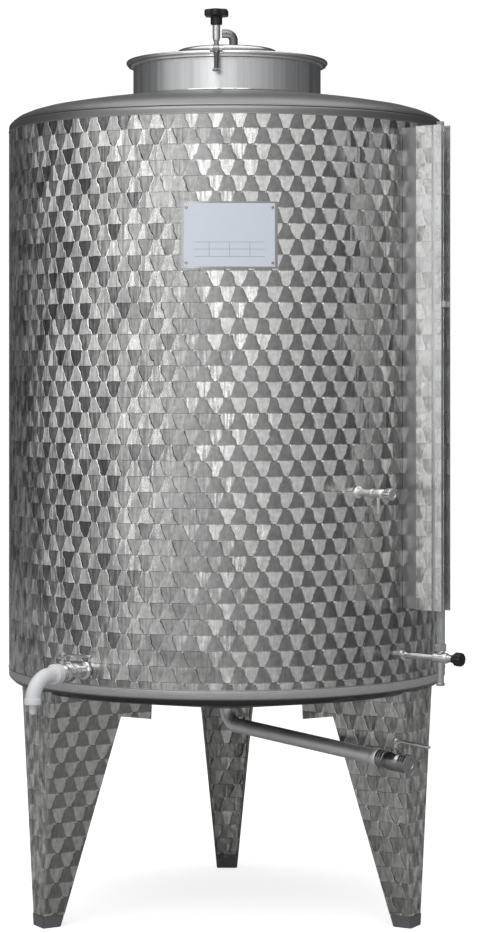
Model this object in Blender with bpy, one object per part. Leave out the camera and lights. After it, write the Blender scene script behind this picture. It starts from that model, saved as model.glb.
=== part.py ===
"""Vertical stainless storage tank on three folded legs, with manway, taps and level gauge.

Metres, +Z up. The tank's front faces -Y. Bearings are degrees anticlockwise from +X,
seen from above, so the front of the tank is at -90.
"""

import math

import bmesh
import bpy
from mathutils import Vector

# Shell and ends
SHELL_RADIUS = 0.500
SHEET = 0.002
SHELL_BOTTOM = 0.5533
SHELL_TOP = 1.7727
ROUND_STEPS = 72
GAP = 0.0003

# Bottom end: straight flange, knuckle and shallow cone
FLANGE_BOTTOM = 0.534
KNUCKLE_RADIUS = 0.474
KNUCKLE_HEIGHT = 0.517
CONE_ANGLE = math.radians(8)
OUTLET_RADIUS = 0.0172

# Roof: short flange, knuckle and a dome of large radius
ROOF_FLANGE_TOP = 1.781
DOME_RADIUS = 2.27
DOME_EDGE = 0.4327
DOME_EDGE_HEIGHT = 1.821

# Manway
COLLAR_RADIUS = 0.2155
COLLAR_TOP = 1.9257
LID_BEARING = -95.5
LID_SEAT = 1.9340
LID_RIM = 0.2315
LID_TOP = 1.967

# Legs: a channel with its web outward, narrowing to the foot
LEG_BEARINGS = {"front_left": -150, "front_right": -30, "rear": 90}
LEG_SHEET = 0.003
LEG_TOP = 0.560
FOOT_HEIGHT = 0.027
WEB_RADIUS_TOP, WEB_RADIUS_FLOOR = 0.488, 0.482
WEB_WIDTH_TOP, WEB_WIDTH_FLOOR = 0.154, 0.050
FLANGE_DEPTH_TOP, FLANGE_DEPTH_FLOOR = 0.205, 0.044
STRAP_LENGTH = 0.240
STRAP_HEIGHT = 0.033
STRAP_THICKNESS = 0.004

# Outlet tap at the lower left
TAP_BEARING = -127.7
TAP_HEIGHT = 0.585
TAP_STEM = 0.572
TAP_LEVER_RISE = 0.034
TAP_LEVER_LENGTH = 0.080
ELBOW_FACE = 0.5850
ELBOW_DROP_RADIUS = 0.667
ELBOW_BEND = 0.052
ELBOW_RADIUS = 0.0160
ELBOW_MOUTH = 0.528

# Bottom drain, running out to the front right
DRAIN_BEARING = -45
DRAIN_RADIUS = 0.0168
DRAIN_BEND = 0.038
DRAIN_TURN_HEIGHT = 0.4154
DRAIN_FALL = math.radians(3.75)
DRAIN_REACH = 0.470
DRAIN_VALVE_LENGTH = 0.085
DRAIN_LEVER_RISE = 0.040
DRAIN_LEVER_LENGTH = 0.097

# Sampling tap on the wall
SAMPLE_BEARING = -56
SAMPLE_HEIGHT = 0.968
SAMPLE_SPOUT = 0.573
SAMPLE_KNOB_START, SAMPLE_KNOB_END = 0.598, 0.624

# Level gauge at the right
GAUGE_BEARING = -40
GAUGE_HEIGHT = 0.610
TUBE_DISTANCE = 0.600
TUBE_RADIUS = 0.008
TUBE_TOP = 1.765
GUARD_BOTTOM, GUARD_TOP = 0.712, 1.757
GUARD_BACK, GUARD_FRONT = 0.545, 0.614
GUARD_WIDTH = 0.034
COCK_KNOB_START, COCK_KNOB_END = 0.632, 0.657
COCK_KNOB_RADIUS = 0.015
KNOB_END_SCALE = 0.88

# Clamp bolt, hinged between two ears on the lid's rim
BOLT_DISTANCE = 0.2440
BOLT_PIVOT_HEIGHT = 1.941
BOLT_FOOT = 1.889
BOLT_RADIUS = 0.006
EAR_RADIUS = 0.009
KNOB_BOTTOM, KNOB_TOP = 2.010, 2.026
KNOB_RADIUS = 0.0285

# Nameplate
PLATE_CENTRE_HEIGHT = 1.515
PLATE_BEARING = -89.4
BACKING_WIDTH, BACKING_HEIGHT = 0.205, 0.142
FACE_WIDTH, FACE_HEIGHT = 0.190, 0.132

# The origin is under the middle of the whole object, so the tank's axis stands beside it.
GAUGE_REACH_X = (
    COCK_KNOB_END * math.cos(math.radians(GAUGE_BEARING))
    - KNOB_END_SCALE * COCK_KNOB_RADIUS * math.sin(math.radians(GAUGE_BEARING))
)
ELBOW_REACH_Y = ELBOW_DROP_RADIUS * math.sin(math.radians(TAP_BEARING)) - 0.018
AXIS_X = (SHELL_RADIUS - GAUGE_REACH_X) / 2
AXIS_Y = -(SHELL_RADIUS + ELBOW_REACH_Y) / 2


def clear_scene():
    for obj in list(bpy.data.objects):
        bpy.data.objects.remove(obj, do_unlink=True)


def make_material(name, colour, roughness, metallic):
    material = bpy.data.materials.new(name)
    material.use_nodes = True
    shader = material.node_tree.nodes["Principled BSDF"]
    shader.inputs["Base Color"].default_value = (*colour, 1)
    shader.inputs["Roughness"].default_value = roughness
    shader.inputs["Metallic"].default_value = metallic
    material.diffuse_color = (*colour, 1)
    return material


def make_materials():
    return {
        "patterned": make_material("patterned_steel", (0.62, 0.61, 0.60), 0.32, 1.0),
        "satin": make_material("satin_steel", (0.66, 0.66, 0.67), 0.30, 1.0),
        "polished": make_material("polished_steel", (0.74, 0.74, 0.75), 0.16, 1.0),
        "black": make_material("black_plastic", (0.02, 0.02, 0.02), 0.45, 0.0),
        "white": make_material("white_plastic", (0.80, 0.80, 0.82), 0.40, 0.0),
        "rubber": make_material("white_rubber", (0.75, 0.74, 0.70), 0.60, 0.0),
        "glass": make_material("gauge_tube", (0.75, 0.80, 0.78), 0.05, 0.0),
        "label": make_material("label_face", (0.82, 0.83, 0.86), 0.40, 0.0),
    }


def place_empty(name, parent, location=(0, 0, 0), rotation=(0, 0, 0)):
    empty = bpy.data.objects.new(name, None)
    bpy.context.collection.objects.link(empty)
    empty.parent = parent
    empty.location = location
    empty.rotation_euler = rotation
    return empty


def make_object(name, mesh_data, material, parent, location=(0, 0, 0), rotation=(0, 0, 0)):
    """Turns a bmesh into a named object under its parent empty."""
    bmesh.ops.remove_doubles(mesh_data, verts=mesh_data.verts, dist=1e-6)
    bmesh.ops.recalc_face_normals(mesh_data, faces=mesh_data.faces)
    mesh = bpy.data.meshes.new(name)
    mesh_data.to_mesh(mesh)
    mesh_data.free()
    mesh.materials.append(material)
    mesh.shade_smooth()
    mesh.set_sharp_from_angle(angle=math.radians(35))
    obj = bpy.data.objects.new(name, mesh)
    bpy.context.collection.objects.link(obj)
    obj.parent = parent
    obj.location = location
    obj.rotation_euler = rotation
    return obj


def turned(name, profile, material, parent, steps=24, closed=False, **place):
    """Spins a (radius, height) profile round local Z. A closed profile makes a ring."""
    shape = bmesh.new()
    verts = [shape.verts.new((radius, 0, height)) for radius, height in profile]
    edges = [shape.edges.new(pair) for pair in zip(verts, verts[1:])]
    if closed:
        edges.append(shape.edges.new((verts[-1], verts[0])))
    bmesh.ops.spin(
        shape,
        geom=verts + edges,
        cent=(0, 0, 0),
        axis=(0, 0, 1),
        angle=math.tau,
        steps=steps,
        use_merge=True,
    )
    return make_object(name, shape, material, parent, **place)


def lofted(name, sections, material, parent, **place):
    """Skins a row of matching closed outlines and caps both ends."""
    shape = bmesh.new()
    rows = [[shape.verts.new(point) for point in outline] for outline in sections]
    for lower, upper in zip(rows, rows[1:]):
        for i in range(len(lower)):
            j = (i + 1) % len(lower)
            shape.faces.new((lower[i], lower[j], upper[j], upper[i]))
    shape.faces.new(list(reversed(rows[0])))
    shape.faces.new(rows[-1])
    return make_object(name, shape, material, parent, **place)


def swept_round(name, stations, material, parent, sides=16, **place):
    """A round bar along a path in local XZ. Each station is (x, z, heading, radius)."""
    sections = []
    for x, z, heading, radius in stations:
        centre = Vector((x, 0, z))
        across = Vector((-math.sin(heading), 0, math.cos(heading)))
        turns = [math.tau * i / sides for i in range(sides)]
        sections.append(
            [
                centre + radius * (math.cos(turn) * across + math.sin(turn) * Vector((0, 1, 0)))
                for turn in turns
            ]
        )
    return lofted(name, sections, material, parent, **place)


def bend(centre, radius, start, end, thickness, steps=8):
    """Stations round an arc in XZ; the angles are the heading of the path at each end."""
    side = 1 if end > start else -1
    stations = []
    for i in range(steps + 1):
        heading = start + (end - start) * i / steps
        x = centre[0] + side * radius * math.sin(heading)
        z = centre[1] - side * radius * math.cos(heading)
        stations.append((x, z, heading, thickness))
    return stations


def block(name, low, high, material, parent, **place):
    """A rectangular block between two corners."""
    outline = [(low[0], low[1]), (high[0], low[1]), (high[0], high[1]), (low[0], high[1])]
    sections = [[(x, y, z) for x, y in outline] for z in (low[2], high[2])]
    return lofted(name, sections, material, parent, **place)


def add_boolean(obj, tool, operation):
    """Cuts or joins a helper solid, which is then hidden from the render."""
    modifier = obj.modifiers.new(operation.title() + "_" + tool.name, "BOOLEAN")
    modifier.operation = operation
    modifier.solver = "EXACT"
    modifier.object = tool
    tool.hide_render = True
    tool.display_type = "WIRE"


def fuse(obj, *helpers):
    for helper in helpers:
        add_boolean(obj, helper, "UNION")


def cut(obj, *helpers):
    for helper in helpers:
        add_boolean(obj, helper, "DIFFERENCE")


def cone_height(radius):
    """Underside of the cone at a distance from the tank's axis."""
    return KNUCKLE_HEIGHT - (KNUCKLE_RADIUS - radius) * math.tan(CONE_ANGLE)


def dome_height(radius):
    rise = math.sqrt(DOME_RADIUS**2 - radius**2) - math.sqrt(DOME_RADIUS**2 - DOME_EDGE**2)
    return DOME_EDGE_HEIGHT + rise


def bottom_outline(offset=0.0):
    """The outside of the bottom end, from the flange's foot inwards."""
    return [
        (SHELL_RADIUS + offset, FLANGE_BOTTOM),
        (0.494 + offset / 2, 0.529 - offset),
        (0.486, 0.5215 - offset),
        (KNUCKLE_RADIUS, KNUCKLE_HEIGHT - offset),
    ]


def build_shell(axis, finish):
    """Four quarters of the wall, each its own sheet."""
    inner = SHELL_RADIUS - SHEET
    steps = ROUND_STEPS // 4
    seam = GAP / 2 / SHELL_RADIUS
    for name, middle in (("front", -90), ("right", 0), ("rear", 90), ("left", 180)):
        sections = []
        for i in range(steps + 1):
            turn = math.radians(middle - 45) + math.pi / 2 * i / steps
            if i == 0:
                turn += seam
            if i == steps:
                turn -= seam
            ring = (
                (inner, SHELL_BOTTOM),
                (SHELL_RADIUS, SHELL_BOTTOM),
                (SHELL_RADIUS, SHELL_TOP),
                (inner, SHELL_TOP),
            )
            sections.append([(r * math.cos(turn), r * math.sin(turn), z) for r, z in ring])
        lofted(f"shell_{name}", sections, finish["patterned"], axis)


def build_bottom(axis, finish):
    outer = [(SHELL_RADIUS, SHELL_BOTTOM - GAP), *bottom_outline()]
    outer.append((OUTLET_RADIUS, cone_height(OUTLET_RADIUS)))
    inner = [(radius - SHEET * 0.7, height + SHEET) for radius, height in bottom_outline()]
    inner = [(SHELL_RADIUS - SHEET, SHELL_BOTTOM - GAP), (SHELL_RADIUS - SHEET, 0.540), *inner[1:]]
    inner.append((OUTLET_RADIUS, cone_height(OUTLET_RADIUS) + SHEET))
    profile = outer + inner[::-1]
    turned("bottom_cone", profile, finish["satin"], axis, ROUND_STEPS, closed=True)


def build_roof(axis, finish):
    hole = COLLAR_RADIUS - SHEET
    edge = [(0.5, ROOF_FLANGE_TOP), (0.4970, 1.790), (0.4856, 1.801), (0.465, 1.8115)]
    rings = [DOME_EDGE - i * (DOME_EDGE - hole) / 3 for i in range(4)]
    top = edge + [(radius, dome_height(radius)) for radius in rings]
    under = [(radius - SHEET * 0.6, height - SHEET) for radius, height in edge[1:]]
    under += [(radius, dome_height(radius) - SHEET) for radius in rings]
    inner = SHELL_RADIUS - SHEET
    low = SHELL_TOP + GAP
    profile = [(inner, low), (SHELL_RADIUS, low), *top, *under[::-1], (inner, ROOF_FLANGE_TOP)]
    turned("roof_dome", profile, finish["satin"], axis, ROUND_STEPS, closed=True)


def build_collar(lid_station, finish):
    inner = COLLAR_RADIUS - SHEET
    foot = dome_height(inner) + GAP
    profile = [
        (inner, COLLAR_TOP),
        (COLLAR_RADIUS, COLLAR_TOP),
        (COLLAR_RADIUS, foot),
        (inner, foot),
    ]
    turned("manway_collar", profile, finish["satin"], lid_station, 48, closed=True)


def build_lid(lid_station, finish):
    top = [
        (0, LID_TOP),
        (0.108, LID_TOP - 0.001),
        (0.114, LID_TOP - 0.004),
        (0.118, 1.957),
        (0.150, 1.951),
        (0.185, 1.943),
        (0.198, 1.937),
        (0.219, LID_SEAT + SHEET),
        (0.2225, 1.939),
        (0.228, 1.9395),
        (LID_RIM, 1.9355),
        (LID_RIM, 1.926),
        (0.2290, 1.924),
    ]
    under = [
        (0.2268, 1.926),
        (0.2268, LID_SEAT),
        (0.198, LID_SEAT + 0.0008),
        (0.1845, 1.941),
        (0.1495, 1.949),
        (0.1165, 1.955),
        (0.1125, LID_TOP - 0.0055),
        (0.107, LID_TOP - 0.0025),
        (0, LID_TOP - SHEET),
    ]
    turned("lid_pan", top + under, finish["polished"], lid_station, 48)
    gasket = [
        (0.2085, LID_SEAT - GAP),
        (0.2215, LID_SEAT - GAP),
        (0.2215, COLLAR_TOP + GAP),
        (0.2085, COLLAR_TOP + GAP),
    ]
    turned("lid_gasket", gasket, finish["rubber"], lid_station, 48, closed=True)


def build_breather(lid_station, finish):
    """A small elbow vent on a round nut, its mouth turned to the left."""
    foot = LID_TOP + GAP
    radius = 0.010
    centre = (-0.001, 1.988)
    stations = [(0.015, foot, math.pi / 2, 0.014), (0.015, foot + 0.007, math.pi / 2, 0.014)]
    stations.append((0.015, foot + 0.007, math.pi / 2, radius))
    stations += bend(centre, 0.016, math.pi / 2, math.pi, radius, 6)
    stations.append((-0.012, centre[1] + 0.016, math.pi, radius))
    swept_round(
        "breather_vent",
        stations,
        finish["polished"],
        lid_station,
        rotation=(0, 0, math.radians(-LID_BEARING)),
    )


def build_clamp(lid_station, pivot, finish):
    """Ears and pin on the lid's rim, and the bolt that rocks on the pin."""
    ears = []
    for side, word in ((-1, "left"), (1, "right")):
        near, far = sorted((side * 0.0075, side * 0.0145))
        ears.append(
            block(
                f"clamp_ear_{word}",
                (LID_RIM + GAP, near, 1.9305),
                (BOLT_DISTANCE, far, BOLT_PIVOT_HEIGHT + 0.004),
                finish["satin"],
                lid_station,
            )
        )
        ears.append(
            turned(
                f"ear_round_{word}",
                [(0, near), (EAR_RADIUS, near), (EAR_RADIUS, far), (0, far)],
                finish["satin"],
                lid_station,
                16,
                location=(BOLT_DISTANCE, 0, BOLT_PIVOT_HEIGHT),
                rotation=(-math.pi / 2, 0, 0),
            )
        )
    pin = turned(
        "clamp_pin",
        [(0, -0.0165), (0.003, -0.0165), (0.003, 0.0165), (0, 0.0165)],
        finish["satin"],
        lid_station,
        12,
        location=(BOLT_DISTANCE, 0, BOLT_PIVOT_HEIGHT),
        rotation=(math.pi / 2, 0, 0),
    )
    ears[0].name = "clamp_ears"
    fuse(ears[0], *ears[1:], pin)

    eye = turned(
        "clamp_rod",
        [(0, -0.0065), (0.0082, -0.0065), (0.0082, 0.0065), (0, 0.0065)],
        finish["satin"],
        pivot,
        16,
        rotation=(math.pi / 2, 0, 0),
    )
    foot, top = BOLT_FOOT - BOLT_PIVOT_HEIGHT, 1.999 - BOLT_PIVOT_HEIGHT
    rod = turned(
        "rod_bar",
        [
            (0, foot),
            (0.0085, foot),
            (0.0085, foot + 0.006),
            (BOLT_RADIUS, foot + 0.006),
            (BOLT_RADIUS, top),
            (0, top),
        ],
        finish["satin"],
        pivot,
        16,
    )
    bore = turned(
        "rod_bore",
        [(0, -0.012), (0.0034, -0.012), (0.0034, 0.012), (0, 0.012)],
        finish["satin"],
        pivot,
        12,
        rotation=(math.pi / 2, 0, 0),
    )
    fuse(eye, rod)
    cut(eye, bore)

    base, top = 1.957 - BOLT_PIVOT_HEIGHT, 1.992 - GAP - BOLT_PIVOT_HEIGHT
    inside = BOLT_RADIUS + GAP
    sleeve = [
        (inside, top),
        (0.0085, top),
        (0.0085, base + 0.005),
        (0.0072, base),
        (inside, base),
    ]
    turned("clamp_sleeve", sleeve, finish["polished"], pivot, 20, closed=True)
    build_clamp_knob(pivot, finish)


def build_clamp_knob(pivot, finish):
    """A flat lobed hand knob on a round neck."""
    lobes, points = 6, 36
    turns = [math.tau * i / points for i in range(points)]
    outline = [
        (KNOB_RADIUS - 0.0022 + 0.0022 * math.cos(lobes * turn), turn) for turn in turns
    ]
    low, high = KNOB_BOTTOM - BOLT_PIVOT_HEIGHT, KNOB_TOP - BOLT_PIVOT_HEIGHT
    sections = [
        [(scale * r * math.cos(t), scale * r * math.sin(t), z) for r, t in outline]
        for scale, z in ((0.93, low), (1, low + 0.003), (1, high - 0.003), (0.93, high))
    ]
    knob = lofted("clamp_knob", sections, finish["black"], pivot)
    neck_low = 1.992 - BOLT_PIVOT_HEIGHT
    neck = turned(
        "knob_neck",
        [(0, neck_low), (0.013, neck_low), (0.013, low + 0.004), (0, low + 0.004)],
        finish["black"],
        pivot,
        24,
    )
    socket = turned(
        "knob_socket",
        [(0, neck_low - 0.004), (0.0063, neck_low - 0.004), (0.0063, 0.0583), (0, 0.0583)],
        finish["black"],
        pivot,
        16,
    )
    fuse(knob, neck)
    cut(knob, socket)


def build_lid_hinge(lid_station, finish):
    """Opposite the clamp: a fork on the collar, its pin, and the lid's tongue."""
    back = -(COLLAR_RADIUS + GAP)
    distance = -0.2500
    height = 1.931
    plate = block(
        "hinge_bracket", (back - 0.004, -0.020, 1.896), (back, 0.020, 1.9225), finish["satin"], lid_station
    )
    cheeks = [
        block(
            f"hinge_cheek_{side}",
            (distance - 0.009, min(side * 0.0125, side * 0.0175), 1.900),
            (back - 0.002, max(side * 0.0125, side * 0.0175), 1.9225),
            finish["satin"],
            lid_station,
        )
        for side in (-1, 1)
    ]
    uprights = [
        block(
            f"hinge_upright_{side}",
            (distance - 0.009, min(side * 0.0125, side * 0.0175), 1.918),
            (distance + 0.009, max(side * 0.0125, side * 0.0175), height + 0.009),
            finish["satin"],
            lid_station,
        )
        for side in (-1, 1)
    ]
    pin = turned(
        "hinge_pin",
        [(0, -0.020), (0.003, -0.020), (0.003, 0.020), (0, 0.020)],
        finish["satin"],
        lid_station,
        12,
        location=(distance, 0, height),
        rotation=(math.pi / 2, 0, 0),
    )
    fuse(plate, *cheeks, *uprights, pin)

    tongue = block(
        "lid_tongue",
        (distance, -0.010, height - 0.003),
        (-LID_RIM - GAP, 0.010, height + 0.008),
        finish["satin"],
        lid_station,
    )
    barrel = turned(
        "tongue_barrel",
        [(0, -0.010), (0.008, -0.010), (0.008, 0.010), (0, 0.010)],
        finish["satin"],
        lid_station,
        16,
        location=(distance, 0, height),
        rotation=(math.pi / 2, 0, 0),
    )
    bore = turned(
        "tongue_bore",
        [(0, -0.02), (0.0036, -0.02), (0.0036, 0.02), (0, 0.02)],
        finish["satin"],
        lid_station,
        12,
        location=(distance, 0, height),
        rotation=(math.pi / 2, 0, 0),
    )
    fuse(tongue, barrel)
    cut(tongue, bore)


def leg_measure(height, at_top, at_floor):
    return at_floor + (at_top - at_floor) * height / LEG_TOP


def leg_section(height):
    """The channel's outline at a height: web outward, flanges towards the tank's axis."""
    outer = leg_measure(height, WEB_RADIUS_TOP, WEB_RADIUS_FLOOR)
    half = leg_measure(height, WEB_WIDTH_TOP, WEB_WIDTH_FLOOR) / 2
    inner = outer - leg_measure(height, FLANGE_DEPTH_TOP, FLANGE_DEPTH_FLOOR)
    back = outer - LEG_SHEET
    inside = half - LEG_SHEET
    outline = [
        (inner, -half),
        (outer, -half),
        (outer, half),
        (inner, half),
        (inner, inside),
        (back, inside),
        (back, -inside),
        (inner, -inside),
    ]
    return [(x, y, height) for x, y in outline]


def foot_section(height):
    outline = leg_section(height)[:4]
    return outline


def bottom_envelope(axis, finish):
    """A solid of the bottom end's outside and all above it, to trim what is welded under it."""
    profile = [(0, cone_height(0) - GAP)]
    profile += bottom_outline(GAP)[::-1]
    profile += [(SHELL_RADIUS + GAP, 0.62), (0, 0.62)]
    return turned("bottom_envelope", profile, finish["satin"], axis, ROUND_STEPS)


def build_legs(axis, finish):
    envelope = bottom_envelope(axis, finish)
    for name, bearing in LEG_BEARINGS.items():
        station = place_empty(f"leg_station_{name}", axis, rotation=(0, 0, math.radians(bearing)))
        sections = [leg_section(FOOT_HEIGHT + GAP), leg_section(LEG_TOP)]
        leg = lofted(f"leg_{name}", sections, finish["patterned"], station)
        cut(leg, envelope)
        sections = [foot_section(0.0), foot_section(FOOT_HEIGHT)]
        lofted(f"foot_{name}", sections, finish["satin"], station)
        for side, word in ((-1, "a"), (1, "b")):
            strap = build_strap(f"strap_{name}_{word}", side, station, finish)
            cut(strap, envelope)


def build_strap(name, side, station, finish):
    """A bar welded to the outside of a leg's flange, close under the cone."""
    outer = WEB_RADIUS_TOP - 0.012
    inner = outer - STRAP_LENGTH
    sections = []
    for radius in (inner, outer):
        low = cone_height(radius) - STRAP_HEIGHT
        high = cone_height(radius) + 0.02
        low_half = leg_measure(low, WEB_WIDTH_TOP, WEB_WIDTH_FLOOR) / 2 + GAP
        high_half = leg_measure(high, WEB_WIDTH_TOP, WEB_WIDTH_FLOOR) / 2 + GAP
        outline = [
            (radius, side * low_half, low),
            (radius, side * (low_half + STRAP_THICKNESS), low),
            (radius, side * (high_half + STRAP_THICKNESS), high),
            (radius, side * high_half, high),
        ]
        sections.append(outline)
    return lofted(name, sections, finish["patterned"], station)


def lever_sections(length, rise, width=0.011, thickness=0.004):
    """A flat handle from a round boss on the stem: (x, height, half width)."""
    shape = [
        (-0.009, 0.0, 0.55),
        (0.0, 0.0, 1.0),
        (0.012, 0.0, 0.8),
        (0.022, rise, 0.75),
        (length - 0.006, rise, 0.75),
        (length, rise, 0.45),
    ]
    half = width / 2
    return [
        [
            (x, -half * part * 1.3, z),
            (x, half * part * 1.3, z),
            (x, half * part * 1.3, z + thickness),
            (x, -half * part * 1.3, z + thickness),
        ]
        for x, z, part in shape
    ]


def build_lever(name, pivot, length, rise, finish, **place):
    """A valve handle: stem, nut and flat bar, turning about the stem."""
    handle = lofted(name, lever_sections(length, 0.004), finish["polished"], pivot, **place)
    stem = turned(
        f"{name}_stem",
        [(0, -rise), (0.004, -rise), (0.004, -0.001), (0.0065, -0.001), (0.0065, 0.009), (0, 0.009)],
        finish["polished"],
        pivot,
        16,
    )
    fuse(handle, stem)


def valve_body(length, bore, wide):
    """The turned outline of a ball valve: hexagon-like ends and a fuller middle."""
    return [
        (0, 0),
        (bore * 1.22, 0),
        (bore * 1.22, length * 0.22),
        (wide * 0.86, length * 0.26),
        (wide, length * 0.36),
        (wide, length * 0.64),
        (wide * 0.86, length * 0.74),
        (bore * 1.22, length * 0.78),
        (bore * 1.22, length),
        (0, length),
    ]


def wall_boss(distance, radius):
    """The first points of a fitting welded to the shell, seated on its curve."""
    start = SHELL_RADIUS + GAP
    return [(0, start), (radius, start), (radius, start + 0.006), (distance, start + 0.009)]


def build_tap(axis, finish):
    station = place_empty("tap_station", axis, rotation=(0, 0, math.radians(TAP_BEARING)))
    across = {"location": (0, 0, TAP_HEIGHT), "rotation": (0, math.pi / 2, 0)}
    body_start = 0.530
    length = ELBOW_FACE - GAP - body_start
    profile = wall_boss(0.0150, 0.020)
    profile += [(radius, body_start + along) for radius, along in valve_body(length, 0.0155, 0.021)]
    profile = [profile[0], *profile[1:4], (0.0150, body_start), *profile[5:]]
    body = turned("tap_valve", profile, finish["polished"], station, 24, **across)
    tower = turned(
        "tap_tower",
        [(0, 0), (0.009, 0), (0.009, 0.025), (0, 0.025)],
        finish["polished"],
        station,
        16,
        location=(TAP_STEM, 0, TAP_HEIGHT),
    )
    fuse(body, tower)
    build_elbow(station, finish)
    pivot = place_empty("tap_lever_pivot", station, (TAP_STEM, 0, TAP_HEIGHT + TAP_LEVER_RISE))
    build_lever(
        "tap_lever",
        pivot,
        TAP_LEVER_LENGTH,
        TAP_LEVER_RISE - 0.025 - GAP,
        finish,
        rotation=(0, 0, math.pi / 2),
    )


def build_elbow(station, finish):
    """The white plastic elbow with a collar at each end and a small spout below."""
    start = ELBOW_FACE
    bend_x = ELBOW_DROP_RADIUS - ELBOW_BEND
    stations = [
        (start, TAP_HEIGHT, 0.0, 0.0215),
        (start + 0.018, TAP_HEIGHT, 0.0, 0.0215),
        (start + 0.021, TAP_HEIGHT, 0.0, 0.0185),
    ]
    centre = (bend_x, TAP_HEIGHT - ELBOW_BEND)
    stations += bend(centre, ELBOW_BEND, 0.0, -math.pi / 2, ELBOW_RADIUS)
    drop, down = ELBOW_DROP_RADIUS, -math.pi / 2
    top = TAP_HEIGHT - ELBOW_BEND
    stations = stations[:-1]
    stations += [
        (drop, top + 0.008, down, ELBOW_RADIUS),
        (drop, top + 0.007, down, 0.018),
        (drop, ELBOW_MOUTH, down, 0.018),
        (drop, ELBOW_MOUTH, down, 0.0072),
        (drop, 0.5075, down, 0.0068),
    ]
    swept_round("tap_elbow", stations, finish["white"], station, 20)


def build_drain(axis, finish):
    station = place_empty("drain_station", axis, rotation=(0, 0, math.radians(DRAIN_BEARING)))
    top = cone_height(OUTLET_RADIUS) + 0.001
    fall = -DRAIN_FALL
    centre = (DRAIN_BEND, DRAIN_TURN_HEIGHT + DRAIN_BEND)
    stations = [(0.0, top, -math.pi / 2, DRAIN_RADIUS)]
    stations += bend(centre, DRAIN_BEND, -math.pi / 2, fall, DRAIN_RADIUS)[1:]
    last = stations[-1]
    run = (DRAIN_REACH - last[0]) / math.cos(fall)
    end = (last[0] + run * math.cos(fall), last[1] + run * math.sin(fall))
    stations.append((*end, fall, DRAIN_RADIUS))
    swept_round("drain_pipe", stations, finish["polished"], station, 20)

    outlet = place_empty("drain_outlet", station, (end[0], 0, end[1]), (0, DRAIN_FALL, 0))
    profile = [(r, GAP + z) for r, z in valve_body(DRAIN_VALVE_LENGTH, 0.0172, 0.0215)]
    body = turned(
        "drain_valve", profile, finish["polished"], outlet, 24, rotation=(0, math.pi / 2, 0)
    )
    stem = GAP + DRAIN_VALVE_LENGTH / 2
    tower = turned(
        "drain_tower",
        [(0, 0), (0.009, 0), (0.009, 0.028), (0, 0.028)],
        finish["polished"],
        outlet,
        16,
        location=(stem, 0, 0),
    )
    fuse(body, tower)
    pivot = place_empty("drain_lever_pivot", outlet, (stem, 0, DRAIN_LEVER_RISE))
    build_lever("drain_lever", pivot, DRAIN_LEVER_LENGTH, DRAIN_LEVER_RISE - 0.028 - GAP, finish)


def build_sample_tap(axis, finish):
    station = place_empty("sample_station", axis, rotation=(0, 0, math.radians(SAMPLE_BEARING)))
    across = {"location": (0, 0, SAMPLE_HEIGHT), "rotation": (0, math.pi / 2, 0)}
    end = SAMPLE_KNOB_START - GAP
    profile = wall_boss(0.0075, 0.013)
    profile += [
        (0.0075, 0.545),
        (0.0100, 0.549),
        (0.0100, 0.586),
        (0.0065, 0.590),
        (0.0065, end),
        (0, end),
    ]
    body = turned("sample_tap", profile, finish["polished"], station, 20, **across)
    spout = turned(
        "sample_spout",
        [(0, -0.043), (0.0036, -0.043), (0.0036, 0), (0, 0)],
        finish["polished"],
        station,
        12,
        location=(SAMPLE_SPOUT, 0, SAMPLE_HEIGHT),
    )
    fuse(body, spout)
    pivot = place_empty("sample_knob_pivot", station, (SAMPLE_KNOB_START, 0, SAMPLE_HEIGHT))
    build_round_knob("sample_knob", pivot, SAMPLE_KNOB_END - SAMPLE_KNOB_START, 0.0135, "polished", finish)


def build_round_knob(name, pivot, length, radius, surface, finish):
    """A fluted hand knob turning about the tap's own axis."""
    points, flutes = 24, 12
    turns = [math.tau * i / points for i in range(points)]
    flute = 0.0008
    outline = [(radius - flute + flute * math.cos(flutes * turn), turn) for turn in turns]
    sections = []
    for scale, along in ((0.62, 0), (0.62, 0.25), (1, 0.32), (1, 0.92), (KNOB_END_SCALE, 1)):
        ring = [
            (along * length, scale * r * math.cos(turn), scale * r * math.sin(turn))
            for r, turn in outline
        ]
        sections.append(ring)
    lofted(name, sections, finish[surface], pivot)


def build_gauge(axis, finish):
    station = place_empty("gauge_station", axis, rotation=(0, 0, math.radians(GAUGE_BEARING)))
    block(
        "gauge_standoff",
        (SHELL_RADIUS + GAP, -0.0015, GUARD_BOTTOM),
        (GUARD_BACK - GAP, 0.0015, GUARD_TOP),
        finish["satin"],
        station,
    )
    half, sheet = GUARD_WIDTH / 2, SHEET
    outline = [
        (GUARD_BACK, -half),
        (GUARD_FRONT, -half),
        (GUARD_FRONT, -half + sheet),
        (GUARD_BACK + sheet, -half + sheet),
        (GUARD_BACK + sheet, half - sheet),
        (GUARD_FRONT, half - sheet),
        (GUARD_FRONT, half),
        (GUARD_BACK, half),
    ]
    sections = [[(x, y, z) for x, y in outline] for z in (GUARD_BOTTOM, GUARD_TOP)]
    lofted("gauge_guard", sections, finish["patterned"], station)
    build_sight_tube(station, finish)
    build_gauge_cock(station, finish)


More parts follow.
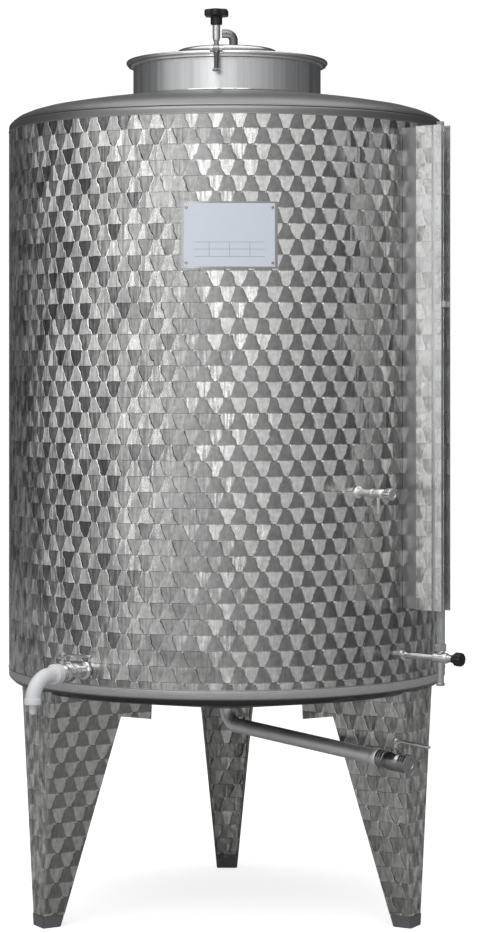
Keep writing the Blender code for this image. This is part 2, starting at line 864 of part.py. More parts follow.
def build_sight_tube(station, finish):
    wall = 0.0015
    foot = GAUGE_HEIGHT + 0.030
    ring = [
        (TUBE_RADIUS - wall, TUBE_TOP),
        (TUBE_RADIUS, TUBE_TOP),
        (TUBE_RADIUS, foot + GAP),
        (TUBE_RADIUS - wall, foot + GAP),
    ]
    middle = {"location": (TUBE_DISTANCE, 0, 0)}
    turned("sight_tube", ring, finish["glass"], station, 16, closed=True, **middle)
    clip = [(TUBE_RADIUS + GAP, 1.366), (0.0112, 1.366), (0.0112, 1.378), (TUBE_RADIUS + GAP, 1.378)]
    holder = turned("tube_clip", clip[::-1], finish["white"], station, 16, closed=True, **middle)
    arm = block(
        "clip_arm",
        (GUARD_BACK + SHEET + GAP, -0.004, 1.367),
        (TUBE_DISTANCE - 0.0095, 0.004, 1.377),
        finish["white"],
        station,
    )
    fuse(holder, arm)


def build_gauge_cock(station, finish):
    """The cock that feeds the sight tube: boss, arm, tube nut above and drain spout below."""
    across = {"location": (0, 0, GAUGE_HEIGHT), "rotation": (0, math.pi / 2, 0)}
    end = COCK_KNOB_START - GAP
    profile = wall_boss(0.0075, 0.013)
    profile += [(0.0075, 0.582), (0.0115, 0.586), (0.0115, 0.616), (0.008, 0.620), (0.008, end), (0, end)]
    body = turned("gauge_cock", profile, finish["polished"], station, 20, **across)
    upright = turned(
        "cock_upright",
        [
            (0, -0.060),
            (0.0092, -0.060),
            (0.0092, -0.054),
            (0.0075, -0.053),
            (0.0075, 0.014),
            (0.0120, 0.016),
            (0.0120, 0.030),
            (0, 0.030),
        ],
        finish["polished"],
        station,
        20,
        location=(TUBE_DISTANCE, 0, GAUGE_HEIGHT),
    )
    fuse(body, upright)
    pivot = place_empty("gauge_knob_pivot", station, (COCK_KNOB_START, 0, GAUGE_HEIGHT))
    build_round_knob(
        "gauge_knob", pivot, COCK_KNOB_END - COCK_KNOB_START, COCK_KNOB_RADIUS, "black", finish
    )


def curved_plate(name, width, height, inner, outer, material, station):
    """A plate bent to the shell, centred on local +X at the nameplate's height."""
    steps = 8
    middle = (inner + outer) / 2
    sections = []
    for i in range(steps + 1):
        turn = (i / steps - 0.5) * width / middle
        sections.append(
            [
                (radius * math.cos(turn), radius * math.sin(turn), PLATE_CENTRE_HEIGHT + side * height / 2)
                for radius, side in ((inner, -1), (outer, -1), (outer, 1), (inner, 1))
            ]
        )
    lofted(name, sections, material, station)


def build_nameplate(axis, finish):
    station = place_empty("plate_station", axis, rotation=(0, 0, math.radians(PLATE_BEARING)))
    seat = SHELL_RADIUS + 0.0006
    curved_plate(
        "nameplate_backing", BACKING_WIDTH, BACKING_HEIGHT, seat, seat + 0.0025, finish["satin"], station
    )
    face = seat + 0.0025 + 2 * GAP
    curved_plate("nameplate", FACE_WIDTH, FACE_HEIGHT, face, face + 0.0015, finish["label"], station)


def main():
    clear_scene()
    finish = make_materials()
    axis = place_empty("tank_axis", None, (AXIS_X, AXIS_Y, 0))
    lid_station = place_empty("lid_station", axis, rotation=(0, 0, math.radians(LID_BEARING)))
    build_shell(axis, finish)
    build_bottom(axis, finish)
    build_roof(axis, finish)
    build_collar(lid_station, finish)
    build_lid(lid_station, finish)
    build_breather(lid_station, finish)
    bolt_pivot = place_empty("bolt_pivot", lid_station, (BOLT_DISTANCE, 0, BOLT_PIVOT_HEIGHT))
    build_clamp(lid_station, bolt_pivot, finish)
    build_lid_hinge(lid_station, finish)
    build_legs(axis, finish)
    build_tap(axis, finish)
    build_drain(axis, finish)
    build_sample_tap(axis, finish)
    build_gauge(axis, finish)
    build_nameplate(axis, finish)


main()
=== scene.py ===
"""Dresses the storage tank: spotted steel sheet, polished fittings, plastic knobs and studio.

Every piece is modelled in the tank's own frame: metres, +Z up, front towards -Y. Bearings
are degrees anticlockwise from +X seen from above, so the front is at -90.
"""

import logging
import math
from dataclasses import dataclass
from enum import Enum

import bmesh
import bpy
from mathutils import Matrix, Vector


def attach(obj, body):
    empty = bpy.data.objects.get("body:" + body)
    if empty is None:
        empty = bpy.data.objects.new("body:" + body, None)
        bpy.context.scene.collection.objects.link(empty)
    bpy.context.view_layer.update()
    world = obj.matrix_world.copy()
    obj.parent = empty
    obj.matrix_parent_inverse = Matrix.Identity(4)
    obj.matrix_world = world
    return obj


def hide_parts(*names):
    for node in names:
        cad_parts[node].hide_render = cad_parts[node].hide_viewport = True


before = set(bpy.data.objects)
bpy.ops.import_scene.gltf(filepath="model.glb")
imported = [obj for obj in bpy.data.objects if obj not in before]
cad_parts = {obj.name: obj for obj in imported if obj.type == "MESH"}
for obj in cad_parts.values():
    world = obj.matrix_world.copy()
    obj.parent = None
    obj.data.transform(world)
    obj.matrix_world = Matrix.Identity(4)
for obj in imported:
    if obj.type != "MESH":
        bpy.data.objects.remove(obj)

logging.basicConfig(level=logging.INFO, format="%(message)s")
log = logging.getLogger("tank")

AXIS_X, AXIS_Y = -0.005888, 0.022873
Point = tuple[float, float]
Place = tuple[float, float, float]
Colour = tuple[float, float, float]
Grain = tuple[float, Place, int]
Bend = tuple[float, float, float, float]
Socket = bpy.types.NodeSocket
Value = Socket | float | tuple[float, ...]


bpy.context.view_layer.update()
WALL_RADIUS = 0.5
# The clearance that neighbouring solids keep.
GAP = 0.0003
LEG_BEARINGS = {"front_left": -150, "front_right": -30, "rear": 90}


class Finish(Enum):
    """The record's material slots."""

    WALL = "shell_wall"
    PLAIN = "shell_plain"
    LID = "lid_steel"
    LEG = "leg_steel"
    FITTING = "fitting_steel"
    GUARD = "guard_steel"
    BLACK = "knob_black"
    WHITE = "elbow_white"
    GASKET = "gasket_rubber"
    TUBE = "tube_clear"
    PLATE = "plate_face"
    FOOT = "foot_grey"


class Nodes:
    """A node tree, with short calls for the arithmetic it needs."""

    def __init__(self, tree: bpy.types.NodeTree) -> None:
        """Keeps the tree that the nodes go into."""
        self.tree = tree

    def node(self, kind: str, **settings: object) -> bpy.types.Node:
        """Adds a node.

        Args:
            kind: The node's type name.
            settings: Values for the node's own properties.

        Returns:
            The new node.
        """
        made = self.tree.nodes.new(kind)
        for name, value in settings.items():
            setattr(made, name, value)
        return made

    def feed(self, socket: Socket, value: Value) -> None:
        """Links a socket to another, or sets it to a constant.

        Args:
            socket: The input to fill.
            value: An output socket or a plain value.
        """
        if isinstance(value, Socket):
            self.tree.links.new(value, socket)
        else:
            socket.default_value = value

    def math(self, operation: str, *values: Value) -> Socket:
        """Adds one arithmetic step.

        Args:
            operation: The Math node's operation.
            values: Its one to three inputs.

        Returns:
            The result's socket.
        """
        made = self.node("ShaderNodeMath", operation=operation)
        for socket, value in zip(made.inputs, values):
            self.feed(socket, value)
        return made.outputs[0]

    def line(self, value: Value, slope: Value, base: Value) -> Socket:
        """Multiplies a number by a slope and adds a base."""
        return self.math("MULTIPLY_ADD", value, slope, base)

    def times(self, first: Value, *others: Value) -> Value:
        """Multiplies numbers.

        Args:
            first: The first one.
            others: The others.

        Returns:
            The product's socket.
        """
        for other in others:
            first = self.math("MULTIPLY", first, other)
        return first

    def clamped(self, value: Value) -> Socket:
        """Keeps a number between 0 and 1."""
        return self.math("MINIMUM", self.math("MAXIMUM", value, 0.0), 1.0)

    def near(self, value: Value, reach: float) -> Socket:
        """Gives 1 where a number is less than a reach away from 0."""
        return self.math("LESS_THAN", self.math("ABSOLUTE", value), reach)

    def vector(self, operation: str, *values: Value) -> Socket:
        """Adds one vector step.

        Args:
            operation: The Vector Math node's operation.
            values: Its vector inputs.

        Returns:
            The resulting vector's socket, or the number's for a dot product.
        """
        made = self.node("ShaderNodeVectorMath", operation=operation)
        for socket, value in zip(made.inputs, values):
            self.feed(socket, value)
        return made.outputs[1 if operation == "DOT_PRODUCT" else 0]

    def pick(self, choice: Value, if_low: Value, if_high: Value) -> Socket:
        """Mixes two numbers.

        Args:
            choice: 0 for the first, 1 for the second.
            if_low: The first number.
            if_high: The second number.

        Returns:
            The mixed number's socket.
        """
        made = self.node("ShaderNodeMix", data_type="FLOAT")
        for index, value in ((0, choice), (2, if_low), (3, if_high)):
            self.feed(made.inputs[index], value)
        return made.outputs[0]

    def place(self) -> Socket:
        """Gives the object coordinates."""
        return self.node("ShaderNodeTexCoord").outputs["Object"]

    def noise(self, scale: float, stretch: Place, detail: float) -> Socket:
        """Adds noise on the object coordinates.

        Args:
            scale: Cells to the metre.
            stretch: Factors on the three axes.
            detail: How many finer layers it has.

        Returns:
            The socket of the noise, from 0 to 1.
        """
        made = self.node("ShaderNodeTexNoise")
        self.feed(made.inputs["Vector"], self.vector("MULTIPLY", self.place(), stretch))
        self.feed(made.inputs["Scale"], scale)
        self.feed(made.inputs["Detail"], detail)
        return made.outputs["Fac"]

    def scaled(self, vector: Value, factor: Value) -> Socket:
        """Scales a vector by a number.

        Args:
            vector: The vector's socket.
            factor: The number.

        Returns:
            The scaled vector's socket.
        """
        made = self.node("ShaderNodeVectorMath", operation="SCALE")
        self.feed(made.inputs[0], vector)
        self.feed(made.inputs["Scale"], factor)
        return made.outputs[0]


class Graph(Nodes):
    """A material's node tree and its shader."""

    def __init__(self, name: str) -> None:
        """Starts a material that holds only a shader and its output.

        Args:
            name: The material's name.
        """
        self.material = bpy.data.materials.new(name)
        self.material.use_nodes = True
        super().__init__(self.material.node_tree)
        self.shader = self.tree.nodes["Principled BSDF"]

    def set(self, **values: Value) -> None:
        """Fills the shader's inputs.

        Args:
            values: A value for each input, by its name with underscores for spaces.
        """
        for name, value in values.items():
            self.feed(self.shader.inputs[name.replace("_", " ")], value)

    def tint(self, brightness: Value, colour: Colour) -> None:
        """Sets the base colour to a colour times a brightness.

        Args:
            brightness: The factor, as a socket or a number.
            colour: Red, green and blue.
        """
        joined = self.node("ShaderNodeCombineXYZ")
        for socket in joined.inputs:
            self.feed(socket, brightness)
        self.set(Base_Color=self.vector("MULTIPLY", joined.outputs[0], colour))

    def bump(self, height: Value, distance: float, over: Value | None = None) -> None:
        """Drives the shader's normal by a height.

        Args:
            height: The height's socket.
            distance: Metres for a height of one.
            over: The normal that the relief lies on, where it isn't the surface's own.
        """
        made = self.node("ShaderNodeBump")
        self.feed(made.inputs["Height"], height)
        self.feed(made.inputs["Distance"], distance)
        if over is not None:
            self.feed(made.inputs["Normal"], over)
        self.set(Normal=made.outputs["Normal"])


@dataclass(frozen=True)
class Marks:
    """Where a place on the sheet lies, and on which part of its spot.

    Attributes:
        normal: The surface's direction.
        height: Height above the floor.
        across: Offset along the sheet from the spot's middle.
        drop: Share of the row above this place.
        own: The spot's own number, from -0.5 to 0.5.
        patch: 1 on a patch, 0 on the sheet between.
        side: 1 on the sheet, -1 on a patch, and nearer to 0 at a slant.
        edge: 1 along the outline.
        left: 1 on the spot's left half.
        clear: How plainly the spots show, which is less at a slant.
        slant: How far the sheet turns away from the viewer.
        streak: Fine upright noise round 0.
    """

    normal: Socket
    height: Socket
    across: Socket
    drop: Socket
    own: Socket
    patch: Socket
    side: Value
    edge: Value
    left: Socket
    clear: Socket
    slant: Socket
    streak: Socket


@dataclass(frozen=True)
class SpottedSteel:
    """Sheet steel dressed with level rows of overlapping round polished spots.

    Each row laps over the one below it, so what shows of a spot is a patch that narrows
    downwards, between upright triangles of the sheet. The patches lean a little to one side
    and the triangles to the other, and so one of them always mirrors the brighter side. The
    colour paints light and shade in as well: patches lighter than the sheet on one side of the
    tank and darker on the other, a painted shadow line and a painted highlight line along the
    outlines, a painted glint at each patch's upper left corner, and painted shade towards the
    bottom. Seen at a slant the spots fade into painted upright sheen strokes.

    A grain is the cells to the metre, the stretch on the three axes and the detail.
    """

    name: str
    colour: Colour
    bearing: float | None = None
    web_from: float = 0.7
    pitch: float = 0.0505
    row: float = 0.0335
    wide: float = 0.0178
    narrow: float = 0.0055
    taper: Point = (0.35, 0.65)
    edge: float = 0.0019
    seam: float = 0.045
    # Size of the painted glint at each patch's upper left corner.
    painted_glint_width: float = 0.0028
    painted_glint_drop: float = 0.11
    waver_along: float = 0.010
    waver_up: float = 0.0035
    lean: float = 0.19
    stray: float = 0.24
    streak_lean: float = 0.55
    rim_lean: Point = (1.6, 0.5)
    spread: float = 0.34
    # Painted light and shade: patch and sheet are lit or shaded by which way the surface faces.
    painted_side_contrast: float = 0.34
    painted_side_offset: float = 0.40
    painted_sheet_bias: float = 0.3
    # Scales the seam lines, the painted shadow and highlight lines on the outlines and the painted
    # glints.
    lines: float = 1.0
    seam_tone: float = -0.42
    # Painted shadow line on the patch side of each outline and painted highlight line on the sheet
    # side, stronger on the left half.
    painted_outline_shadow: float = -0.85
    painted_outline_highlight: float = 0.40
    painted_outline_sides: Point = (0.75, 0.25)
    # Brightness of the painted glints.
    painted_glint_tone: float = 0.9
    # Scales the upright grain streaks, their lean and the painted sheen strokes.
    streaks: float = 1.0
    streak_tone: float = 0.9
    # Painted sheen strokes that grow where the sheet turns away from the viewer.
    painted_sheen_tone: float = 5.0
    painted_sheen_middle: float = 0.43
    painted_sheen_floor: float = 0.2
    mottle: Point = (0.7, 0.65)
    cloud: Point = (0.36, 0.82)
    # Painted shade: darker towards the bottom, lighter towards the top.
    rise: Point = (0.10, 0.88)
    slanting: Point = (2.4, -0.72)
    fade: float = -0.75
    roughness: float = 0.25
    roughness_spread: float = 0.08
    anisotropy: float = 0.55
    groove_centre: float = 0.45
    ripples: float = 5200.0
    ripple_height: float = 0.012
    swell_height: float = 6.0
    scuff_height: float = 0.10
    relief: float = 0.0005
    waver_grain: Grain = (70.0, (1, 1, 0.8), 1)
    streak_grain: Grain = (210.0, (1, 1, 0.09), 3)
    # Grain of the painted sheen strokes.
    painted_sheen_grain: Grain = (62.0, (1, 1, 0.5), 2)
    mottle_grain: Grain = (95.0, (1, 1, 1), 3)
    cloud_grain: Grain = (6.0, (1, 1, 0.4), 5)
    swell_grain: Grain = (2.6, (1, 1, 0.6), 1)
    scuff_grain: Grain = (260.0, (1, 1, 1), 3)

    def make(self) -> bpy.types.Material:
        """Builds the material.

        Returns:
            The material.
        """
        graph = Graph(self.name)
        split = graph.node("ShaderNodeSeparateXYZ")
        graph.feed(split.inputs[0], graph.place())
        normal = graph.node("ShaderNodeNewGeometry").outputs["Normal"]
        marks = self._marks(graph, normal, self._along(graph, split, normal), split.outputs["Z"])
        self._colour(graph, marks)
        self._relief(graph, marks)
        return graph.material

    def _along(self, graph: Graph, split: bpy.types.Node, normal: Value) -> Socket:
        """Measures along the sheet, level with the floor.

        Args:
            graph: The material's nodes.
            split: The separated object coordinates.
            normal: The surface's direction.

        Returns:
            The socket of the distance in metres.
        """
        x = graph.math("SUBTRACT", split.outputs["X"], AXIS_X)
        y = graph.math("SUBTRACT", split.outputs["Y"], AXIS_Y)
        if self.bearing is None:
            angle = graph.math("ARCTAN2", x, graph.times(y, -1.0))
            return graph.times(angle, WALL_RADIUS)
        turn = math.radians(self.bearing)
        outward = (math.cos(turn), math.sin(turn))
        radial = graph.math("ADD", graph.times(x, outward[0]), graph.times(y, outward[1]))
        tangent = graph.math("SUBTRACT", graph.times(y, outward[0]), graph.times(x, outward[1]))
        facing = graph.math("ABSOLUTE", graph.vector("DOT_PRODUCT", normal, (*outward, 0)))
        return graph.pick(graph.math("GREATER_THAN", facing, self.web_from), radial, tangent)

    def _spot(self, graph: Graph, along: Value, height: Value) -> tuple[Socket, Socket, Socket]:
        """Finds the spot that this place is nearest to.

        Args:
            graph: The material's nodes.
            along: Distance along the sheet.
            height: Height above the floor.

        Returns:
            Sockets of the offset across from the spot's middle, the share of the row that
            lies above this place, and a number from -0.5 to 0.5 that is the spot's own.
        """
        waver = graph.math("SUBTRACT", graph.noise(*self.waver_grain), 0.5)
        along = graph.line(waver, self.waver_along, along)
        rows = graph.math("DIVIDE", graph.line(waver, self.waver_up, height), self.row)
        row = graph.math("CEIL", rows)
        drop = graph.math("SUBTRACT", row, rows)
        shift = graph.times(graph.math("FLOORED_MODULO", row, 2.0), 0.5)
        cells = graph.math("SUBTRACT", graph.math("DIVIDE", along, self.pitch), shift)
        cell = graph.math("ROUND", cells)
        across = graph.times(graph.math("SUBTRACT", cells, cell), self.pitch)
        key = graph.node("ShaderNodeCombineXYZ")
        graph.feed(key.inputs[0], cell)
        graph.feed(key.inputs[1], row)
        chance = graph.node("ShaderNodeTexWhiteNoise", noise_dimensions="2D")
        graph.feed(chance.inputs["Vector"], key.outputs[0])
        return across, drop, graph.math("SUBTRACT", chance.outputs["Value"], 0.5)

    def _marks(self, graph: Graph, normal: Value, along: Value, height: Value) -> Marks:
        """Measures the place on its spot.

        Args:
            graph: The material's nodes.
            normal: The surface's direction.
            along: Distance along the sheet.
            height: Height above the floor.

        Returns:
            The measures.
        """
        across, drop, own = self._spot(graph, along, height)
        taper = graph.times(drop, graph.line(drop, *self.taper))
        half = graph.line(taper, self.narrow - self.wide, self.wide)
        margin = graph.math("SUBTRACT", half, graph.math("ABSOLUTE", across))
        patch = graph.math("GREATER_THAN", margin, 0.0)
        turned = graph.node("ShaderNodeLayerWeight").outputs["Facing"]
        slant = graph.clamped(graph.line(turned, *self.slanting))
        clear = graph.line(slant, self.fade, 1.0)
        return Marks(
            normal, height, across, drop, own, patch,
            side=graph.times(graph.line(patch, -2.0, 1.0), clear),
            edge=graph.times(clear, graph.near(margin, self.edge)),
            left=graph.math("LESS_THAN", across, 0.0),
            clear=clear,
            slant=slant,
            streak=graph.math("SUBTRACT", graph.noise(*self.streak_grain), 0.5),
        )

    def _colour(self, graph: Graph, marks: Marks) -> None:
        """Sets the tone: painted light and shade on spots against sheet, painted shadow and
        highlight lines on their outlines, painted sheen strokes, painted glints, mottling, clouds
        and painted shade towards the bottom.

        Args:
            graph: The material's nodes.
            marks: The place on its spot.
        """
        # Painted light and shade: patches lighter than the sheet on the +X side of the tank, darker
        # on the -X side.
        turned = graph.vector("DOT_PRODUCT", marks.normal, (self.painted_side_contrast, 0, 0))
        turned = graph.math("ADD", turned, self.painted_side_contrast * self.painted_side_offset)
        tone = graph.times(graph.math("ADD", marks.side, self.painted_sheet_bias), turned)
        tone = graph.line(marks.own, self.spread, graph.math("SUBTRACT", 1.0, tone))
        seam = graph.times(marks.clear, graph.math("LESS_THAN", marks.drop, self.seam))
        # Painted shadow line inside each patch's outline and painted highlight line just outside
        # it, mostly on the left half.
        dark, light = self.painted_outline_shadow * self.lines, self.painted_outline_highlight * self.lines
        outline = graph.times(
            marks.edge,
            graph.line(marks.left, *self.painted_outline_sides),
            graph.line(marks.patch, dark, light),
        )
        # Painted sheen: upright strokes that grow where the sheet turns away from the viewer.
        sheen_stroke = graph.math("SUBTRACT", graph.noise(*self.painted_sheen_grain), self.painted_sheen_middle)
        sheen_stroke = graph.line(graph.times(sheen_stroke, marks.slant), self.painted_sheen_tone * self.streaks, 1.0)
        tone = graph.times(
            tone,
            graph.line(seam, self.seam_tone * self.lines, 1.0),
            graph.math("ADD", outline, 1.0),
            graph.line(marks.streak, self.streak_tone * self.streaks, 1.0),
            graph.math("MAXIMUM", sheen_stroke, self.painted_sheen_floor),
            graph.line(graph.noise(*self.mottle_grain), *self.mottle),
        )
        # Painted glint at each patch's upper left corner.
        corner = graph.near(graph.math("ADD", marks.across, self.wide), self.painted_glint_width)
        glint = graph.times(corner, graph.math("LESS_THAN", marks.drop, self.painted_glint_drop))
        tone = graph.line(glint, self.painted_glint_tone * self.lines, tone)
        # Random clouds of tone, times painted shade that darkens towards the bottom.
        cloud = graph.line(graph.noise(*self.cloud_grain), *self.cloud)
        graph.tint(graph.times(tone, cloud, graph.line(marks.height, *self.rise)), self.colour)

    def _relief(self, graph: Graph, marks: Marks) -> None:
        """Leans the patches and triangles, and gives them the sheen of round grooves.

        Args:
            graph: The material's nodes.
            marks: The place on its spot.
        """
        rim = graph.times(marks.edge, graph.line(marks.left, *self.rim_lean))
        lean = graph.times(marks.side, graph.line(rim, self.lean, self.lean))
        lean = graph.line(marks.own, self.stray, lean)
        lean = graph.line(marks.streak, self.streak_lean * self.streaks, lean)
        level = graph.vector("NORMALIZE", graph.vector("CROSS_PRODUCT", (0, 0, 1), marks.normal))
        steep = graph.vector("CROSS_PRODUCT", marks.normal, level)
        up = graph.times(graph.math("SUBTRACT", self.groove_centre, marks.drop), self.row)
        groove = graph.vector("ADD", graph.scaled(level, marks.across), graph.scaled(steep, up))
        graph.set(
            Tangent=graph.vector("NORMALIZE", groove),
            Anisotropic=self.anisotropy,
            Metallic=1.0,
            Roughness=graph.line(marks.own, self.roughness_spread, self.roughness),
        )
        leaning = graph.vector("ADD", marks.normal, graph.scaled(level, lean))
        reach = graph.math("SQRT", graph.vector("DOT_PRODUCT", groove, groove))
        ripple = graph.math("SINE", graph.times(reach, self.ripples))
        ripple = graph.times(ripple, self.ripple_height)
        swell = graph.line(graph.noise(*self.swell_grain), self.swell_height, ripple)
        scuff = graph.line(graph.noise(*self.scuff_grain), self.scuff_height, swell)
        graph.bump(scuff, self.relief, over=graph.vector("NORMALIZE", leaning))


@dataclass(frozen=True)
class PlainFinish:
    """A metal, plastic or rubber surface with a little unevenness and optional painted shade
    underneath.
    """

    name: str
    colour: Colour
    roughness: float
    metallic: float = 1.0
    grain: Place = (1, 1, 1)
    grain_scale: float = 40.0
    uneven: float = 0.10
    relief: float = 0.0
    clear: float = 0.0
    shade: float = 0.0
    shade_from: float = -1.6
    refraction: float = 1.45

    def make(self) -> bpy.types.Material:
        """Builds the material.

        Returns:
            The material.
        """
        graph = Graph(self.name)
        cloud = graph.noise(self.grain_scale, self.grain, 3)
        tone = graph.line(cloud, self.uneven, 1 - self.uneven / 2)
        # Painted shade: faces that look down are darkened.
        if self.shade:
            facing = graph.node("ShaderNodeSeparateXYZ")
            graph.feed(facing.inputs[0], graph.node("ShaderNodeNewGeometry").outputs["Normal"])
            down = graph.clamped(graph.times(facing.outputs["Z"], self.shade_from))
            tone = graph.times(tone, graph.line(down, -self.shade, 1.0))
        graph.tint(tone, self.colour)
        rough = graph.line(cloud, self.uneven, self.roughness - self.uneven / 2)
        graph.set(Metallic=self.metallic, Roughness=rough)
        if self.relief:
            graph.bump(cloud, self.relief)
        if self.clear:
            graph.set(Transmission_Weight=self.clear, IOR=self.refraction)
        return graph.material


class Palette:
    """All the materials, each made once."""

    def __init__(self) -> None:
        """Makes the materials."""
        self.wall = SpottedSteel("wall_spots", (0.60, 0.595, 0.585)).make()
        # A near-white copy of the steel: painted light on the guard's bright face.
        self.guard = SpottedSteel(
            "guard_spots", (0.97, 0.97, 0.96), bearing=-40, lean=0.05, stray=0.06, spread=0.08,
            painted_side_contrast=0.06, lines=0.3, streaks=0.3,
        ).make()
        self.legs = {
            name: SpottedSteel(
                f"leg_spots_{name}", (0.56, 0.56, 0.54), bearing=bearing, lean=0.22, stray=0.18,
                spread=0.24, painted_side_contrast=0.22, roughness=0.30,
            ).make()
            for name, bearing in LEG_BEARINGS.items()
        }
        self.plain = PlainFinish(
            "plain_sheet", (0.60, 0.60, 0.595), 0.33, grain=(1, 1, 3), grain_scale=9, relief=0.001
        ).make()
        # A darker copy of the sheet steel: painted shade on the roof.
        self.roof = PlainFinish(
            "roof_sheet", (0.31, 0.31, 0.31), 0.42, grain=(1, 1, 3), grain_scale=9, relief=0.001
        ).make()
        # A lighter copy of the sheet steel for a painted highlight on the bottom's knuckle, with
        # painted shade on faces that look down.
        self.underside = PlainFinish(
            "bottom_sheet", (0.84, 0.84, 0.83), 0.28, grain=(1, 1, 40), grain_scale=16, uneven=0.3,
            shade=0.9,
        ).make()
        self.streaked = PlainFinish(
            "neck_sheet", (0.74, 0.75, 0.76), 0.30, grain=(1, 1, 0.015), grain_scale=95, uneven=0.42
        ).make()
        # A lighter copy of the sheet steel: painted highlight on the lid's rolled rim and on the
        # guard's fold.
        self.bright = PlainFinish(
            "lid_sheet", (0.80, 0.80, 0.80), 0.24, grain_scale=14, uneven=0.12
        ).make()
        self.dark = PlainFinish("dark_fitting", (0.22, 0.22, 0.22), 0.24, grain_scale=80).make()
        self.fin = PlainFinish(
            "fin_sheet", (0.40, 0.40, 0.40), 0.34, grain_scale=24, uneven=0.3
        ).make()
        # A near-black ring: painted shade in the fold at the roof's rim.
        self.crease_shade = PlainFinish("rim_crease_shade", (0.09, 0.09, 0.09), 0.6, grain_scale=30).make()
        self.weld = PlainFinish(
            "weld_bead", (0.42, 0.40, 0.38), 0.42, grain_scale=160, relief=0.0006
        ).make()
        self.polished = PlainFinish(
            "polished_steel", (0.74, 0.74, 0.74), 0.15, grain_scale=60
        ).make()
        self.satin = PlainFinish("satin_steel", (0.40, 0.40, 0.40), 0.24, grain_scale=60).make()
        # A lighter copy of the steel: painted light, as the pipe lies in the tank's shadow.
        self.pipe = PlainFinish(
            "drain_steel", (0.97, 0.97, 0.97), 0.52, grain_scale=30, uneven=0.2
        ).make()
        # A lighter copy of the fittings' steel: painted highlight on the sampling tap.
        self.tap = PlainFinish(
            "tap_steel", (0.95, 0.95, 0.94), 0.34, grain_scale=30, uneven=0.15
        ).make()
        self.foot = PlainFinish("foot_steel", (0.30, 0.305, 0.315), 0.42, grain_scale=30).make()
        self.black = PlainFinish(
            "black_plastic", (0.012, 0.012, 0.013), 0.38, metallic=0, grain_scale=200, relief=0.0001
        ).make()
        self.white = PlainFinish("white_plastic", (0.83, 0.84, 0.86), 0.36, metallic=0).make()
        self.rubber = PlainFinish("gasket_rubber", (0.70, 0.69, 0.65), 0.62, metallic=0).make()
        self.clear = PlainFinish(
            "clear_tube", (0.92, 0.95, 0.94), 0.08, metallic=0, clear=0.85
        ).make()
        self.plate = PlainFinish(
            "plate_face", (0.78, 0.83, 0.92), 0.42, metallic=0, uneven=0.04
        ).make()
        self.ink = PlainFinish("plate_lines", (0.42, 0.44, 0.50), 0.5, metallic=0).make()


@dataclass
class Station:
    """A place on the tank: its bearing, with local +X pointing outward from the axis."""

    bearing: float
    along: float = 0.0
    height: float = 0.0
    tilt: float = 0.0

    def matrix(self) -> Matrix:
        """Works out where local coordinates land.

        Returns:
            The matrix from local to the tank's frame.
        """
        return (
            Matrix.Translation((AXIS_X, AXIS_Y, 0))
            @ Matrix.Rotation(math.radians(self.bearing), 4, "Z")
            @ Matrix.Translation((self.along, 0, self.height))
            @ Matrix.Rotation(self.tilt, 4, "Y")
        )


CENTRE = Station(0)
FROM_AXIS = Matrix.Translation((-AXIS_X, -AXIS_Y, 0))
SMOOTH = math.radians(35)
SHARP = math.radians(50)
MERGE = 1e-6
CUT_SHARE, LEAST_CUT, STRAIGHT = 0.45, 1e-5, -0.9995
BOSS = [(0, 0.5004), (0.0130, 0.5004), (0.0130, 0.5050), (0.0118, 0.5062), (0.0078, 0.5080)]
KNOB_STEPS = 96
AROUND = [math.tau * i / KNOB_STEPS for i in range(KNOB_STEPS)]


def only(obj: bpy.types.Object) -> None:
    """Selects one object and makes it the active one.

    Args:
        obj: The object.
    """
    bpy.ops.object.select_all(action="DESELECT")
    obj.select_set(True)
    bpy.context.view_layer.objects.active = obj


def carry(obj: bpy.types.Object, matrix: Matrix) -> bpy.types.Object:
    """Moves an object, and keeps its new place in its mesh.

    Args:
        obj: The object, in object mode.
        matrix: The move.

    Returns:
        The object.
    """
    obj.matrix_world = matrix @ obj.matrix_world
    only(obj)
    bpy.ops.object.transform_apply(location=True, rotation=True, scale=True)
    return obj


def start_from_points(name: str, points: list[Point]) -> bpy.types.Object:
    """Draws a line through (x, z) points, one extrusion after another.

    Args:
        name: The new object's name.
        points: Where the line goes, in its local XZ plane.

    Returns:
        The object, still in edit mode with all of it selected.
    """
    bpy.ops.object.select_all(action="DESELECT")
    bpy.ops.mesh.primitive_plane_add(size=0.01)
    obj = bpy.context.object
    obj.name = obj.data.name = name
    bpy.ops.object.mode_set(mode="EDIT")
    bpy.ops.mesh.select_all(action="SELECT")
    bpy.ops.mesh.merge(type="CENTER")
    x, z = points[0]
    bpy.ops.transform.translate(value=(x, 0, z))
    for (x0, z0), (x1, z1) in zip(points, points[1:]):
        bpy.ops.mesh.extrude_region_move(
            TRANSFORM_OT_translate={"value": (x1 - x0, 0, z1 - z0)}
        )
    bpy.ops.mesh.select_all(action="SELECT")
    return obj


def settle(obj: bpy.types.Object, station: Station) -> bpy.types.Object:
    """Cleans a mesh, moves it to its place and shades it.

    Args:
        obj: The object, in edit mode.
        station: Where it goes.

    Returns:
        The object, at the origin with its place in its mesh.
    """
    bpy.ops.mesh.select_all(action="SELECT")
    bpy.ops.mesh.remove_doubles(threshold=MERGE)
    bpy.ops.mesh.normals_make_consistent(inside=False)
    bpy.ops.object.mode_set(mode="OBJECT")
    carry(obj, station.matrix())
    bpy.ops.object.shade_smooth_by_angle(angle=SMOOTH)
    return obj


